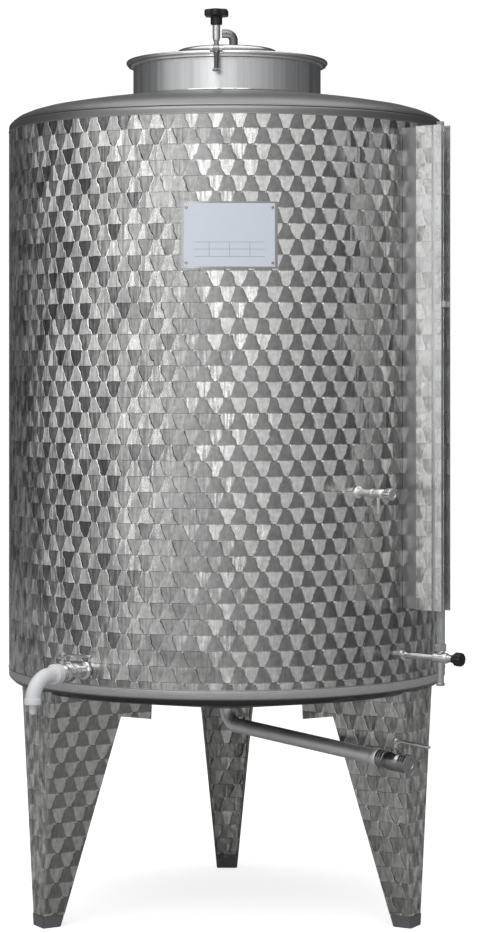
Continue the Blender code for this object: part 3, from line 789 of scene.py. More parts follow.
def lathe(
    name: str,
    profile: list[Point],
    station: Station,
    steps: int = 48,
    closed: bool = False,
    lie: bool = False,
) -> bpy.types.Object:
    """Turns a (radius, height) profile round local Z.

    Args:
        name: The new object's name.
        profile: The outline, drawn point by point.
        station: Where it goes.
        steps: How many facets go round.
        closed: Whether the outline's ends join, as on a ring.
        lie: Whether the turning axis lies along local +X instead of +Z.

    Returns:
        The finished object.
    """
    obj = start_from_points(name, profile + profile[:1] if closed else profile)
    bpy.ops.mesh.spin(steps=steps, angle=math.tau, center=(0, 0, 0), axis=(0, 0, 1))
    if lie:
        obj.matrix_world = Matrix.Rotation(math.pi / 2, 4, "Y")
    return settle(obj, station)


def round_corners(points: list[Point], radius: float, steps: int = 4) -> list[Point]:
    """Rounds the inner corners of an open outline.

    Args:
        points: The outline.
        radius: The most that a corner is cut back on each side.
        steps: Spans to each corner.

    Returns:
        The smoother outline.
    """
    rounded = [points[0]]
    for before, corner, after in zip(points, points[1:], points[2:]):
        corner_at = Vector(corner)
        back, ahead = Vector(before) - corner_at, Vector(after) - corner_at
        cut = min(radius, back.length * CUT_SHARE, ahead.length * CUT_SHARE)
        if cut < LEAST_CUT or back.normalized().dot(ahead.normalized()) < STRAIGHT:
            rounded.append(corner)
            continue
        start, end = corner_at + back.normalized() * cut, corner_at + ahead.normalized() * cut
        for i in range(steps + 1):
            t = i / steps
            point = start * (1 - t) ** 2 + corner_at * 2 * t * (1 - t) + end * t**2
            rounded.append((point.x, point.y))
    rounded.append(points[-1])
    return rounded


def extruded(
    name: str, outline: list[Point], low: float, high: float, station: Station, bevel: float = 0.0
) -> bpy.types.Object:
    """Pulls a closed (x, y) outline up into a solid.

    Args:
        name: The new object's name.
        outline: The shape seen from above.
        low: Height of its foot.
        high: Height of its top.
        station: Where it goes.
        bevel: How far its sharp edges are eased.

    Returns:
        The finished object.
    """
    obj = start_from_points(name, outline)
    bpy.ops.mesh.edge_face_add()
    bpy.ops.object.mode_set(mode="OBJECT")
    carry(obj, Matrix.Translation((0, 0, low)) @ Matrix.Rotation(-math.pi / 2, 4, "X"))
    bpy.ops.object.mode_set(mode="EDIT")
    bpy.ops.mesh.select_all(action="SELECT")
    bpy.ops.mesh.extrude_region_move(TRANSFORM_OT_translate={"value": (0, 0, high - low)})
    if bevel:
        ease(bevel)
    return settle(obj, station)


def ease(width: float) -> None:
    """Bevels the sharp edges of the mesh in edit mode.

    Args:
        width: The bevel's width.
    """
    bpy.ops.mesh.select_all(action="SELECT")
    bpy.ops.mesh.normals_make_consistent(inside=False)
    bpy.ops.mesh.select_all(action="DESELECT")
    bpy.ops.mesh.select_mode(type="EDGE")
    bpy.ops.mesh.edges_select_sharp(sharpness=SHARP)
    bpy.ops.mesh.bevel(offset=width, segments=2, affect="EDGES", clamp_overlap=True)
    bpy.ops.mesh.select_mode(type="VERT")


def skin(rings: list[list[Place]]) -> bmesh.types.BMesh:
    """Joins closed outlines, one after another, into a solid with capped ends.

    Args:
        rings: The outlines, which all have the same number of points.

    Returns:
        The mesh.
    """
    shape = bmesh.new()
    loops = [[shape.verts.new(point) for point in ring] for ring in rings]
    for first, second in zip(loops, loops[1:]):
        for i in range(len(first)):
            j = (i + 1) % len(first)
            shape.faces.new((first[i], first[j], second[j], second[i]))
    shape.faces.new(loops[0])
    shape.faces.new(loops[-1])
    return shape


def tube(name: str, path: list[Bend], station: Station, sides: int = 32) -> bpy.types.Object:
    """Skins round sections along a path in local XZ.

    Args:
        name: The new object's name.
        path: (x, z, heading, radius) at each station of the path.
        station: Where it goes.
        sides: Facets round the bar.

    Returns:
        The finished object, with capped ends.
    """
    rings = []
    for x, z, heading, radius in path:
        across = Vector((-math.sin(heading), 0, math.cos(heading)))
        ring = []
        for i in range(sides):
            turn = math.tau * i / sides
            offset = across * math.cos(turn) + Vector((0, 1, 0)) * math.sin(turn)
            ring.append(Vector((x, 0, z)) + offset * radius)
        rings.append(ring)
    return from_bmesh(name, skin(rings), station)


def from_bmesh(name: str, shape: bmesh.types.BMesh, station: Station) -> bpy.types.Object:
    """Makes a finished object of a bmesh.

    Args:
        name: The new object's name.
        shape: The mesh, which is freed.
        station: Where it goes.

    Returns:
        The finished object.
    """
    mesh = bpy.data.meshes.new(name)
    shape.to_mesh(mesh)
    shape.free()
    obj = bpy.data.objects.new(name, mesh)
    bpy.context.scene.collection.objects.link(obj)
    only(obj)
    bpy.ops.object.mode_set(mode="EDIT")
    return settle(obj, station)


def arc(
    centre: Point, radius: float, start: float, end: float, thick: float, steps: int
) -> list[Bend]:
    """Stations of a path round a bend in XZ.

    Args:
        centre: The bend's centre.
        radius: The bend's radius.
        start: The path's heading where it starts.
        end: Its heading where it ends.
        thick: The bar's radius.
        steps: Spans round the bend.

    Returns:
        (x, z, heading, radius) for each station.
    """
    side = 1 if end > start else -1
    stations = []
    for i in range(steps + 1):
        heading = start + (end - start) * i / steps
        x = centre[0] + side * radius * math.sin(heading)
        z = centre[1] - side * radius * math.cos(heading)
        stations.append((x, z, heading, thick))
    return stations


def join(name: str, *objs: bpy.types.Object) -> bpy.types.Object:
    """Joins several finished objects into one mesh.

    Args:
        name: The joined object's name.
        objs: The objects, of which the first is kept.

    Returns:
        The joined object.
    """
    only(objs[0])
    for obj in objs:
        obj.select_set(True)
    bpy.ops.object.join()
    objs[0].name = objs[0].data.name = name
    return objs[0]


def bead(centre: Point, half: Point, count: int) -> list[Point]:
    """Draws the section of a weld bead.

    Args:
        centre: Its middle, as a radius and a height.
        half: Half its width and half its height.
        count: How many points it has.

    Returns:
        Its outline.
    """
    turns = [math.tau * i / count for i in range(count)]
    return [
        (centre[0] + half[0] * math.cos(turn), centre[1] + half[1] * math.sin(turn))
        for turn in turns
    ]


def paint(obj: bpy.types.Object, material: bpy.types.Material) -> None:
    """Gives an object one material, in place of any that it has."""
    obj.data.materials.clear()
    obj.data.materials.append(material)


def dress_node(name: str, material: bpy.types.Material) -> None:
    """Gives a solid that stays visible its material.

    Args:
        name: The node's name.
        material: The material.
    """
    paint(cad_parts[name], material)
    log.info("%s: kept, as %s", name, material.name)


@dataclass
class Dresser:
    """Gives finished pieces their material and body, and hides the nodes that they stand for."""

    palette: Palette

    def dress(
        self,
        obj: bpy.types.Object,
        material: bpy.types.Material,
        finish: Finish,
        body: str = "tank",
        nodes: tuple[str, ...] = (),
    ) -> None:
        """Finishes one piece.

        Args:
            obj: The piece.
            material: Its material.
            finish: The record's slot that it belongs to; not used.
            body: The body that it moves with.
            nodes: The solids that it stands for.
        """
        paint(obj, material)
        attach(obj, body)
        if nodes:
            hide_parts(*nodes)
        log.info("%s: %d faces, rides on %s", obj.name, len(obj.data.polygons), body)


@dataclass
class Vessel:
    """The wall, roof and bottom."""

    dresser: Dresser
    radius: float = WALL_RADIUS
    sheet: float = 0.002
    low: float = 0.5533
    high: float = 1.7727
    steps: int = 192
    dome_radius: float = 2.27
    dome_edge: Point = (0.4327, 1.821)
    cone_edge: Point = (0.474, 0.517)
    cone_fall: float = math.radians(8)
    outlet: float = 0.0172

    def dome(self, radius: float) -> float:
        """Gives the roof's height at a distance from the axis."""
        flat = math.sqrt(self.dome_radius**2 - self.dome_edge[0] ** 2)
        return self.dome_edge[1] + math.sqrt(self.dome_radius**2 - radius**2) - flat

    def cone(self, radius: float) -> float:
        """Gives the height of the bottom's underside at a distance from the axis."""
        return self.cone_edge[1] - (self.cone_edge[0] - radius) * math.tan(self.cone_fall)

    def build(self) -> None:
        """Makes the three sheets, the weld beads between them and a dark ring of painted shade at
        the roof's rim.
        """
        kit, inner = self.dresser, self.radius - self.sheet
        wall = lathe(
            "wall",
            [(inner, self.high), (self.radius, self.high), (self.radius, self.low),
             (inner, self.low)],
            CENTRE, self.steps, closed=True,
        )
        quarters = ("shell_front", "shell_right", "shell_rear", "shell_left")
        kit.dress(wall, kit.palette.wall, Finish.WALL, nodes=quarters)
        wall.data.materials.append(kit.palette.plain)
        for face in wall.data.polygons:
            outward = face.center - Vector((AXIS_X, AXIS_Y, face.center.z))
            face.material_index = int(outward.dot(face.normal) < -0.1)

        outer = [
            (self.radius, self.high + GAP), (self.radius, 1.7825), (0.4990, 1.7868),
            (0.4965, 1.7892), (0.4945, 1.7896), (0.4935, 1.7915), (0.4905, 1.7963), (0.478, 1.8053),
            (0.458, 1.8137),
        ]
        outer += [(r, self.dome(r)) for r in (0.4327, 0.39, 0.35, 0.31, 0.27, 0.24, 0.2135)]
        under = [(r - 0.0014, z - self.sheet) for r, z in outer[3:]]
        under[-1] = (0.2135, outer[-1][1] - self.sheet)
        roof = lathe(
            "roof", outer + under[::-1] + [(inner, 1.781), (inner, self.high + GAP)],
            CENTRE, self.steps, closed=True,
        )
        kit.dress(roof, kit.palette.roof, Finish.PLAIN, nodes=("roof_dome",))

        knuckle = [
            (self.radius, self.low - GAP), (self.radius, 0.536), (0.4988, 0.5330),
            (0.495, 0.5288), (0.489, 0.5235),
            (0.481, 0.5192), self.cone_edge, (0.40, self.cone(0.40)), (0.2, self.cone(0.2)),
            (self.outlet, self.cone(self.outlet)),
        ]
        above = [(r - 0.0015, z + self.sheet) for r, z in knuckle[3:-1]]
        above.append((self.outlet, knuckle[-1][1] + self.sheet))
        bottom = lathe(
            "bottom", knuckle + above[::-1] + [(inner, 0.541), (inner, self.low - GAP)],
            CENTRE, self.steps, closed=True,
        )
        kit.dress(bottom, kit.palette.underside, Finish.PLAIN, nodes=("bottom_cone",))
        # Two weld beads, and a dark ring of painted shade in the fold at the roof's rim.
        for name, reach, height, metal in (
            ("roof_bead", self.radius + 0.0002, self.high, kit.palette.weld),
            ("bottom_bead", self.radius + 0.0002, self.low, kit.palette.weld),
            ("rim_crease_shade", 0.4956, 1.7899, kit.palette.crease_shade),
        ):
            section = bead((reach, height), (0.0008, 0.0012), 8)
            kit.dress(lathe(name, section, CENTRE, self.steps, closed=True), metal, Finish.PLAIN)


@dataclass
class Manway:
    """The collar, lid, hinge, vent and clamp bolt."""

    dresser: Dresser
    vessel: Vessel
    bearing: float = -95.5
    collar: float = 0.2155
    collar_top: float = 1.9257
    pan_top: float = 1.967
    bolt: float = 0.244
    pivot: float = 1.941

    @property
    def place(self) -> Station:
        """Gives the neck's axis, turned towards the clamp."""
        return Station(self.bearing)

    def build(self) -> None:
        """Makes the whole manway."""
        self._collar()
        self._lid()
        self._vent()
        self._hinge()
        self._clamp()

    def _collar(self) -> None:
        """The neck, its weld bead and the gasket."""
        kit, inner = self.dresser, self.collar - 0.002
        foot = self.vessel.dome(inner) + GAP
        profile = [
            (inner, self.collar_top - 0.0006), (inner + 0.0006, self.collar_top),
            (self.collar - 0.0006, self.collar_top), (self.collar, self.collar_top - 0.0006),
            (self.collar, foot), (inner, foot),
        ]
        neck = lathe("manway_neck", profile, self.place, 144, closed=True)
        kit.dress(neck, kit.palette.streaked, Finish.PLAIN, nodes=("manway_collar",))
        section = bead((self.collar + 0.0018, foot + 0.0012), (0.0024, 0.0020), 10)
        weld = lathe("neck_weld", section, self.place, 144, closed=True)
        kit.dress(weld, kit.palette.polished, Finish.PLAIN)
        seat = self.vessel.dome(0.224)
        heap = [(0, seat + 0.0026), (0.0035, seat + 0.0022), (0.0062, seat), (0, seat - 0.0004)]
        dab = lathe("weld_dab", heap, Station(-85.5, 0.224), 20)
        kit.dress(dab, kit.palette.weld, Finish.PLAIN)
        seal = [
            (0.2085, 1.9335), (0.2085, self.collar_top + 0.0005), (0.210, self.collar_top + GAP),
            (0.2200, self.collar_top + GAP), (0.2215, self.collar_top + 0.0005),
            (0.2215, 1.9335),
        ]
        gasket = lathe("gasket", seal, self.place, 96, closed=True)
        kit.dress(gasket, kit.palette.rubber, Finish.GASKET, "lid", ("lid_gasket",))

    def _lid(self) -> None:
        """The pressed pan with its raised middle and rolled rim."""
        kit = self.dresser
        top = [
            (0, self.pan_top), (0.106, self.pan_top - 0.0008), (0.1135, self.pan_top - 0.004),
            (0.118, 1.9575), (0.150, 1.9515), (0.185, 1.9435), (0.198, 1.9378), (0.2185, 1.9363),
        ]
        roll = [
            (0.22625 + 0.0053 * math.cos(turn), 1.9342 + 0.0053 * math.sin(turn))
            for turn in (math.radians(a) for a in range(150, -111, -20))
        ]
        under = [
            (0.2268, 1.9262), (0.2268, 1.9340), (0.198, 1.9348), (0.1845, 1.9410), (0.1495, 1.9490),
            (0.1165, 1.955), (0.1120, self.pan_top - 0.0060), (0.105, self.pan_top - 0.0026),
            (0, self.pan_top - 0.002),
        ]
        pan = lathe("lid", round_corners(top, 0.004, 3) + roll + under, self.place, 144)
        kit.dress(pan, kit.palette.bright, Finish.LID, "lid", ("lid_pan",))

    def _vent(self) -> None:
        """The small elbow vent on the middle of the lid."""
        kit, foot, centre, radius = self.dresser, self.pan_top + GAP, (-0.001, 1.988), 0.010
        up = math.pi / 2
        path = [
            (0.015, foot, up, 0.0135), (0.015, foot + 0.0004, up, 0.014),
            (0.015, foot + 0.0064, up, 0.014),
        ]
        path += [(0.015, foot + 0.007, up, 0.0132), (0.015, foot + 0.0071, up, radius)]
        path += arc(centre, 0.016, up, math.pi, radius, 10)
        path += [(-0.0105, 2.004, math.pi, radius), (-0.012, 2.004, math.pi, radius - 0.001)]
        path += [(-0.012, 2.004, math.pi, 0.0072), (-0.006, 2.004, math.pi, 0.0070)]
        vent = tube("vent", path, Station(0))
        kit.dress(vent, kit.palette.dark, Finish.FITTING, "lid", ("breather_vent",))

    def _hinge(self) -> None:
        """The bracket behind the neck and the lid's tongue keep their solids, in satin steel."""
        for node in ("hinge_bracket", "lid_tongue"):
            dress_node(node, self.dresser.palette.satin)

    def _clamp(self) -> None:
        """Ears, threaded bolt, sleeve and hand knob."""
        kit = self.dresser
        dress_node("clamp_ears", kit.palette.polished)
        at, pin = Station(self.bearing, self.bolt), Station(self.bearing, self.bolt, self.pivot)
        eye = lathe(
            "bolt_eye",
            [(0.0034, -0.0065), (0.0076, -0.0065), (0.0082, -0.0059), (0.0082, 0.0059),
             (0.0076, 0.0065), (0.0034, 0.0065)],
            pin, 32, closed=True,
        )
        turn_about(eye, pin, 90)
        thread = [(0, 1.8890), (0.0048, 1.8890)]
        pitch, count = 0.00175, 24
        for i in range(count):
            low = 1.8895 + i * pitch
            thread += [(0.0051, low), (0.0060, low + pitch / 2)]
        thread += [(0.0051, 1.8895 + count * pitch), (0.0055, 1.936), (0.0055, 1.999), (0, 1.999)]
        shank = lathe("bolt_shank", thread, at, 24)
        nut = hexagon("bolt_nut", 0.0098, 1.8895, 1.8955, at)
        bolt = join("clamp_bolt", shank, eye, nut)
        kit.dress(bolt, kit.palette.satin, Finish.FITTING, "clamp_bolt", ("clamp_rod",))
        sleeve = lathe(
            "clamp_collar",
            [(0.0063, 1.9915), (0.0080, 1.9915), (0.0086, 1.9908), (0.0086, 1.9650),
             (0.0072, 1.9575), (0.0063, 1.9575)],
            at, 32, closed=True,
        )
        kit.dress(sleeve, kit.palette.polished, Finish.FITTING, "clamp_bolt", ("clamp_sleeve",))
        knob = lobed_knob("hand_knob", at)
        kit.dress(knob, kit.palette.black, Finish.BLACK, "clamp_hand_knob", ("clamp_knob",))


def turn_about(obj: bpy.types.Object, station: Station, degrees: float) -> None:
    """Turns a finished object about a station's local X axis.

    Args:
        obj: The object.
        station: Where the axis lies.
        degrees: How far it turns.
    """
    here = station.matrix()
    carry(obj, here @ Matrix.Rotation(math.radians(degrees), 4, "X") @ here.inverted())


def hexagon(
    name: str, across: float, low: float, high: float, station: Station
) -> bpy.types.Object:
    """A nut: six flats with its corners turned off.

    Args:
        name: The new object's name.
        across: The radius over its corners.
        low: Where it starts along its axis.
        high: Where it ends.
        station: Where it goes.

    Returns:
        The finished object.
    """
    edge = across * 0.12
    profile = [
        (0, low), (across - edge, low), (across, low + edge), (across, high - edge),
        (across - edge, high), (0, high),
    ]
    return lathe(name, profile, station, 6)


def coupling(
    name: str, radius: float, low: float, high: float, station: Station
) -> bpy.types.Object:
    """A round coupling with two shallow grooves, along local +X.

    Args:
        name: The new object's name.
        radius: Its radius.
        low: Where it starts.
        high: Where it ends.
        station: Where it goes.

    Returns:
        The finished object.
    """
    span = high - low
    profile = [(0, low), (radius - 0.0008, low), (radius, low + 0.0008)]
    for share in (0.35, 0.65):
        middle = low + span * share
        profile += [(radius, middle - 0.0006), (radius - 0.0006, middle), (radius, middle + 0.0006)]
    profile += [
        (radius, high - 0.0008), (radius - 0.0008, high), (radius * 0.62, high),
        (radius * 0.58, high - 0.0016), (0, high - 0.0016),
    ]
    return lathe(name, profile, station, 40, lie=True)


def lobed_knob(name: str, station: Station) -> bpy.types.Object:
    """The flat hand knob on its round neck.

    Args:
        name: The new object's name.
        station: Where it goes.

    Returns:
        The finished object.
    """
    levels = (
        (0.0062, 0.0, 1.9922), (0.0118, 0.0, 1.9922), (0.0130, 0.0, 1.9935), (0.0130, 0.0, 2.0075),
        (0.0150, 0.0, 2.0098), (0.0262, 0.0022, 2.0103), (0.0282, 0.0022, 2.0120),
        (0.0285, 0.0022, 2.0150), (0.0285, 0.0022, 2.0215), (0.0278, 0.0022, 2.0240),
        (0.0258, 0.0018, 2.0256), (0.0150, 0.0, 2.0259), (0.0120, 0.0, 2.0250),
    )
    rings = []
    for radius, lobe, height in levels:
        reaches = [(turn, radius - lobe + lobe * math.cos(6 * turn)) for turn in AROUND]
        rings.append(
            [(out * math.cos(turn), out * math.sin(turn), height) for turn, out in reaches]
        )
    return from_bmesh(name, skin(rings), station)


@dataclass
class Legs:
    """Three folded channels, their feet and the bars under the bottom."""

    dresser: Dresser
    vessel: Vessel
    sheet: float = 0.003
    top: float = 0.560
    foot: float = 0.027
    fold: float = 0.006
    web: Point = (0.488, 0.482)
    width: Point = (0.154, 0.050)
    depth: Point = (0.205, 0.044)

    def build(self) -> None:
        """Makes the three legs."""
        kit = self.dresser
        for name, bearing in LEG_BEARINGS.items():
            place, metal = Station(bearing), kit.palette.legs[name]
            leg = self._channel(f"channel_{name}", place)
            kit.dress(leg, metal, Finish.LEG, nodes=(f"leg_{name}",))
            foot = self._foot(f"pad_{name}", place)
            kit.dress(foot, kit.palette.foot, Finish.FOOT, nodes=(f"foot_{name}",))
            for side in "ab":
                dress_node(f"strap_{name}_{side}", metal)

    def _measures(self, height: float) -> Place:
        """Reads the taper at a height.

        Args:
            height: Height above the floor.

        Returns:
            The web's distance, half the width, and the flanges' inner ends.
        """
        share = height / self.top
        outer = self.web[1] + (self.web[0] - self.web[1]) * share
        half = (self.width[1] + (self.width[0] - self.width[1]) * share) / 2
        inner = outer - (self.depth[1] + (self.depth[0] - self.depth[1]) * share)
        return outer, half, inner

    def _section(self, height: float) -> list[Place]:
        """Draws the channel at a height, with its folds rounded.

        Args:
            height: Height above the floor.

        Returns:
            The outline's points.
        """
        outer, half, inner = self._measures(height)
        outside, inside = [], []
        spans = 4
        for side in (-1, 1):
            for i in range(spans + 1):
                turn = math.pi / 2 * (i / spans if side < 0 else 1 - i / spans)
                out, into = self.fold, self.fold - self.sheet
                x, y = outer - self.fold, side * (half - self.fold)
                outside.append((x + out * math.sin(turn), y + side * out * math.cos(turn)))
                inside.append((x + into * math.sin(turn), y + side * into * math.cos(turn)))
        outline = [(inner, -half), *outside, (inner, half), (inner, half - self.sheet)]
        outline += [*inside[::-1], (inner, -half + self.sheet)]
        return [(x, y, height) for x, y in outline]

    def _channel(self, name: str, place: Station) -> bpy.types.Object:
        """Skins the channel and trims its top along the bottom's underside.

        Args:
            name: The new object's name.
            place: Where it goes.

        Returns:
            The finished channel.
        """
        rings = [self._section(height) for height in (self.foot + GAP, self.top)]
        leg = from_bmesh(name, skin(rings), place)
        gap = 0.0006
        profile = [(0, self.vessel.cone(0) - gap), (0.474, 0.517 - gap), (0.481, 0.5193 - gap)]
        profile += [
            (0.489 + gap / 2, 0.524 - gap), (0.495 + gap, 0.530 - gap), (0.5015, 0.540),
            (0.5015, 0.62),
        ]
        cutter = lathe(f"{name}_trim", profile + [(0, 0.62)], CENTRE, 144)
        trim = leg.modifiers.new("Trim", "BOOLEAN")
        trim.operation, trim.solver, trim.object = "DIFFERENCE", "EXACT", cutter
        only(leg)
        bpy.ops.object.modifier_apply(modifier=trim.name)
        bpy.data.objects.remove(cutter, do_unlink=True)
        bpy.ops.object.shade_smooth_by_angle(angle=math.radians(30))
        return leg

    def _foot(self, name: str, place: Station) -> bpy.types.Object:
        """The pad that a leg stands on.

        Args:
            name: The new object's name.
            place: Where it goes.

        Returns:
            The finished pad.
        """
        rings = []
        for height in (0.0, self.foot):
            outer, half, inner = self._measures(height)
            outline = [(inner, -half), (outer, -half), (outer, half), (inner, half)]
            rings.append([(x, y, height) for x, y in outline])
        shape = skin(rings)
        bmesh.ops.recalc_face_normals(shape, faces=shape.faces)
        bmesh.ops.bevel(shape, geom=shape.edges[:], offset=0.0014, segments=2, affect="EDGES")
        return from_bmesh(name, shape, place)


@dataclass
class BallValve:
    """A small ball valve along local +X, with the tower that its lever's stem stands in."""

    bore: float
    wide: float
    length: float

    def body(self, name: str, place: Station, tower: float) -> bpy.types.Object:
        """Makes the body: two round couplings, a turned middle and a tower for the stem.

        Args:
            name: The new object's name.
            place: Its inlet face, with local +X along the pipe.
            tower: Height of the tower over the pipe's middle.

        Returns:
            The finished object.
        """
        length, wide = self.length, self.wide
        middle = [
            (0, length * 0.16), (wide * 0.82, length * 0.20), (wide * 0.86, length * 0.26),
            (wide * 0.97, length * 0.34), (wide, length * 0.42), (wide, length * 0.58),
            (wide * 0.97, length * 0.66), (wide * 0.86, length * 0.74),
            (wide * 0.82, length * 0.80), (0, length * 0.84),
        ]
        parts = [
            lathe(name, round_corners(middle, 0.002, 3), place, 40, lie=True),
            coupling("valve_inlet", self.bore * 1.16, 0, length * 0.24, place),
            coupling("valve_outlet", self.bore * 1.22, length * 0.76, length, place),
        ]
        post = lathe(
            "valve_tower",
            [(0, 0), (0.009, 0), (0.009, tower - 0.004), (0.0082, tower - 0.003),
             (0.0070, tower - 0.0025), (0.0070, tower), (0, tower)],
            CENTRE, 24,
        )
        carry(post, place.matrix() @ Matrix.Translation((length / 2, 0, 0)) @ FROM_AXIS)
        return join(name, *parts, post)


def lever(
    name: str, matrix: Matrix, length: float, stem: float, sideways: bool
) -> bpy.types.Object:
    """A flat handle, cranked up from its stem, with a nut over it.

    Args:
        name: The new object's name.
        matrix: The stem's place, with the handle along local +X.
        length: From the stem to the handle's end.
        stem: How far the stem reaches down.
        sideways: Whether the handle lies along local +Y instead.

    Returns:
        The finished object.
    """
    rows = (
        (-0.0085, 0.0, 0.0042), (-0.006, 0.0, 0.0062), (0.0, 0.0, 0.0070), (0.010, 0.0, 0.0060),
        (0.013, 0.0006, 0.0056), (0.019, 0.0036, 0.0054), (0.023, 0.0042, 0.0054),
        (length * 0.55, 0.0042, 0.0056), (length - 0.008, 0.0042, 0.0060),
        (length - 0.003, 0.0042, 0.0050), (length, 0.0042, 0.0030),
    )
    rings = []
    for x, lift, half in rows:
        low, top = lift - 0.0006, lift + 0.0042
        ring = [(x, -half, low + 0.0008), (x, -half + 0.001, low), (x, half - 0.001, low),
                (x, half, low + 0.0008), (x, half, top - 0.0008), (x, half - 0.001, top),
                (x, -half + 0.001, top), (x, -half, top - 0.0008)]
        rings.append(ring)
    shape = skin(rings)
    if sideways:
        bmesh.ops.rotate(shape, verts=shape.verts, matrix=Matrix.Rotation(math.pi / 2, 3, "Z"))
    bar_piece = from_bmesh(name, shape, CENTRE)
    rod = lathe(
        "lever_stem",
        [(0, -stem), (0.004, -stem), (0.004, 0.003), (0.0062, 0.0031), (0.0062, 0.0080),
         (0.0055, 0.0088), (0.0034, 0.0088), (0.0034, 0.0102), (0, 0.0102)],
        CENTRE, 24,
    )
    return carry(join(name, bar_piece, rod), matrix @ FROM_AXIS)


@dataclass
class OutletTap:
    """The lower left tap: flange on the wall, ball valve, lever and white elbow."""

    dresser: Dresser
    bearing: float = -127.7
    height: float = 0.585
    body_start: float = 0.530
    face: float = 0.585
    stem: float = 0.572
    drop: float = 0.667
    bend: float = 0.052

    def build(self) -> None:
        """Makes the tap."""
        kit = self.dresser
        boss = lathe(
            "tap_boss",
            [(0, 0.5004), (0.0200, 0.5004), (0.0200, 0.5055), (0.0185, 0.5068), (0.0152, 0.5085),
             (0.0150, self.body_start + 0.002), (0, self.body_start + 0.002)],
            Station(self.bearing, 0, self.height), 40, lie=True,
        )
        length = self.face - GAP - self.body_start
        valve = BallValve(0.0155, 0.021, length)
        place = Station(self.bearing, self.body_start, self.height)
        body = valve.body("tap_body", place, 0.025)
        collar = lathe(
            "tap_gland", [(0, 0), (0.0085, 0), (0.0085, 0.0245), (0, 0.0245)],
            Station(self.bearing, self.stem, self.height), 24,
        )
        tap = join("outlet_tap", boss, body, collar)
        kit.dress(tap, kit.palette.polished, Finish.FITTING, nodes=("tap_valve",))
        self._elbow()
        matrix = Station(self.bearing, self.stem, self.height + 0.034).matrix()
        handle = lever("tap_handle", matrix, 0.080, 0.034 - 0.0258, True)
        kit.dress(handle, kit.palette.polished, Finish.FITTING, "tap_handle", ("tap_lever",))

    def _elbow(self) -> None:
        """The white plastic elbow with its collars and spout."""
        start, down = self.face, -math.pi / 2
        low = self.height - self.bend
        path = [
            (start, self.height, 0.0, 0.0205), (start + 0.0012, self.height, 0.0, 0.0215),
            (start + 0.0168, self.height, 0.0, 0.0215), (start + 0.018, self.height, 0.0, 0.0206),
            (start + 0.0182, self.height, 0.0, 0.0186), (start + 0.021, self.height, 0.0, 0.0180),
            (start + 0.0212, self.height, 0.0, 0.0160),
        ]
        path += arc((self.drop - self.bend, low), self.bend, 0.0, down, 0.0160, 16)
        path = path[:-1]
        path += [
            (self.drop, low + 0.0082, down, 0.0160), (self.drop, low + 0.0080, down, 0.0176),
            (self.drop, low + 0.0070, down, 0.0180), (self.drop, 0.5290, down, 0.0180),
            (self.drop, 0.5280, down, 0.0170), (self.drop, 0.5279, down, 0.0076),
            (self.drop, 0.5090, down, 0.0070), (self.drop, 0.5077, down, 0.0062),
            (self.drop, 0.5077, down, 0.0045), (self.drop, 0.5200, down, 0.0043),
        ]
        elbow = tube("white_elbow", path, Station(self.bearing), 40)
        self.dresser.dress(elbow, self.dresser.palette.white, Finish.WHITE, nodes=("tap_elbow",))


@dataclass
class Drain:
    """The bottom pipe with its valve and lever."""

    dresser: Dresser
    vessel: Vessel
    bearing: float = -45
    radius: float = 0.0168
    bend: float = 0.038
    turn: float = 0.4154
    fall: float = math.radians(3.75)
    reach: float = 0.470
    valve: float = 0.085
    rise: float = 0.040

    def build(self) -> None:
        """Makes the drain."""
        kit = self.dresser
        top = self.vessel.cone(self.vessel.outlet) + 0.001
        centre = (self.bend, self.turn + self.bend)
        path = [(0.0, top, -math.pi / 2, self.radius)]
        path += arc(centre, self.bend, -math.pi / 2, -self.fall, self.radius, 18)[1:]
        x, z = path[-1][0], path[-1][1]
        drop = math.tan(self.fall)
        for along in (0.12, 0.2, 0.3, 0.4, 0.452):
            path.append((along, z - (along - x) * drop, -self.fall, self.radius))
        socket = ((0.4521, 0.0195), (0.4535, 0.0203), (0.4685, 0.0203), (self.reach, 0.0195))
        for along, radius in socket:
            path.append((along, z - (along - x) * drop, -self.fall, radius))
        end = z - (self.reach - x) * drop
        pipe = tube("drain_run", path, Station(self.bearing), 40)
        kit.dress(pipe, kit.palette.pipe, Finish.FITTING, nodes=("drain_pipe",))
        outlet = Station(self.bearing, self.reach, end, self.fall)
        shift = Station(self.bearing, self.reach + GAP, end, self.fall)
        valve = BallValve(0.0172, 0.0215, self.valve)
        body = valve.body("drain_ball_valve", shift, 0.028)
        kit.dress(body, kit.palette.satin, Finish.FITTING, nodes=("drain_valve",))
        stem = GAP + self.valve / 2
        matrix = outlet.matrix() @ Matrix.Translation((stem, 0, self.rise))
        handle = lever("drain_handle", matrix, 0.097, self.rise - 0.0288, False)
        kit.dress(handle, kit.palette.polished, Finish.FITTING, "drain_handle", ("drain_lever",))


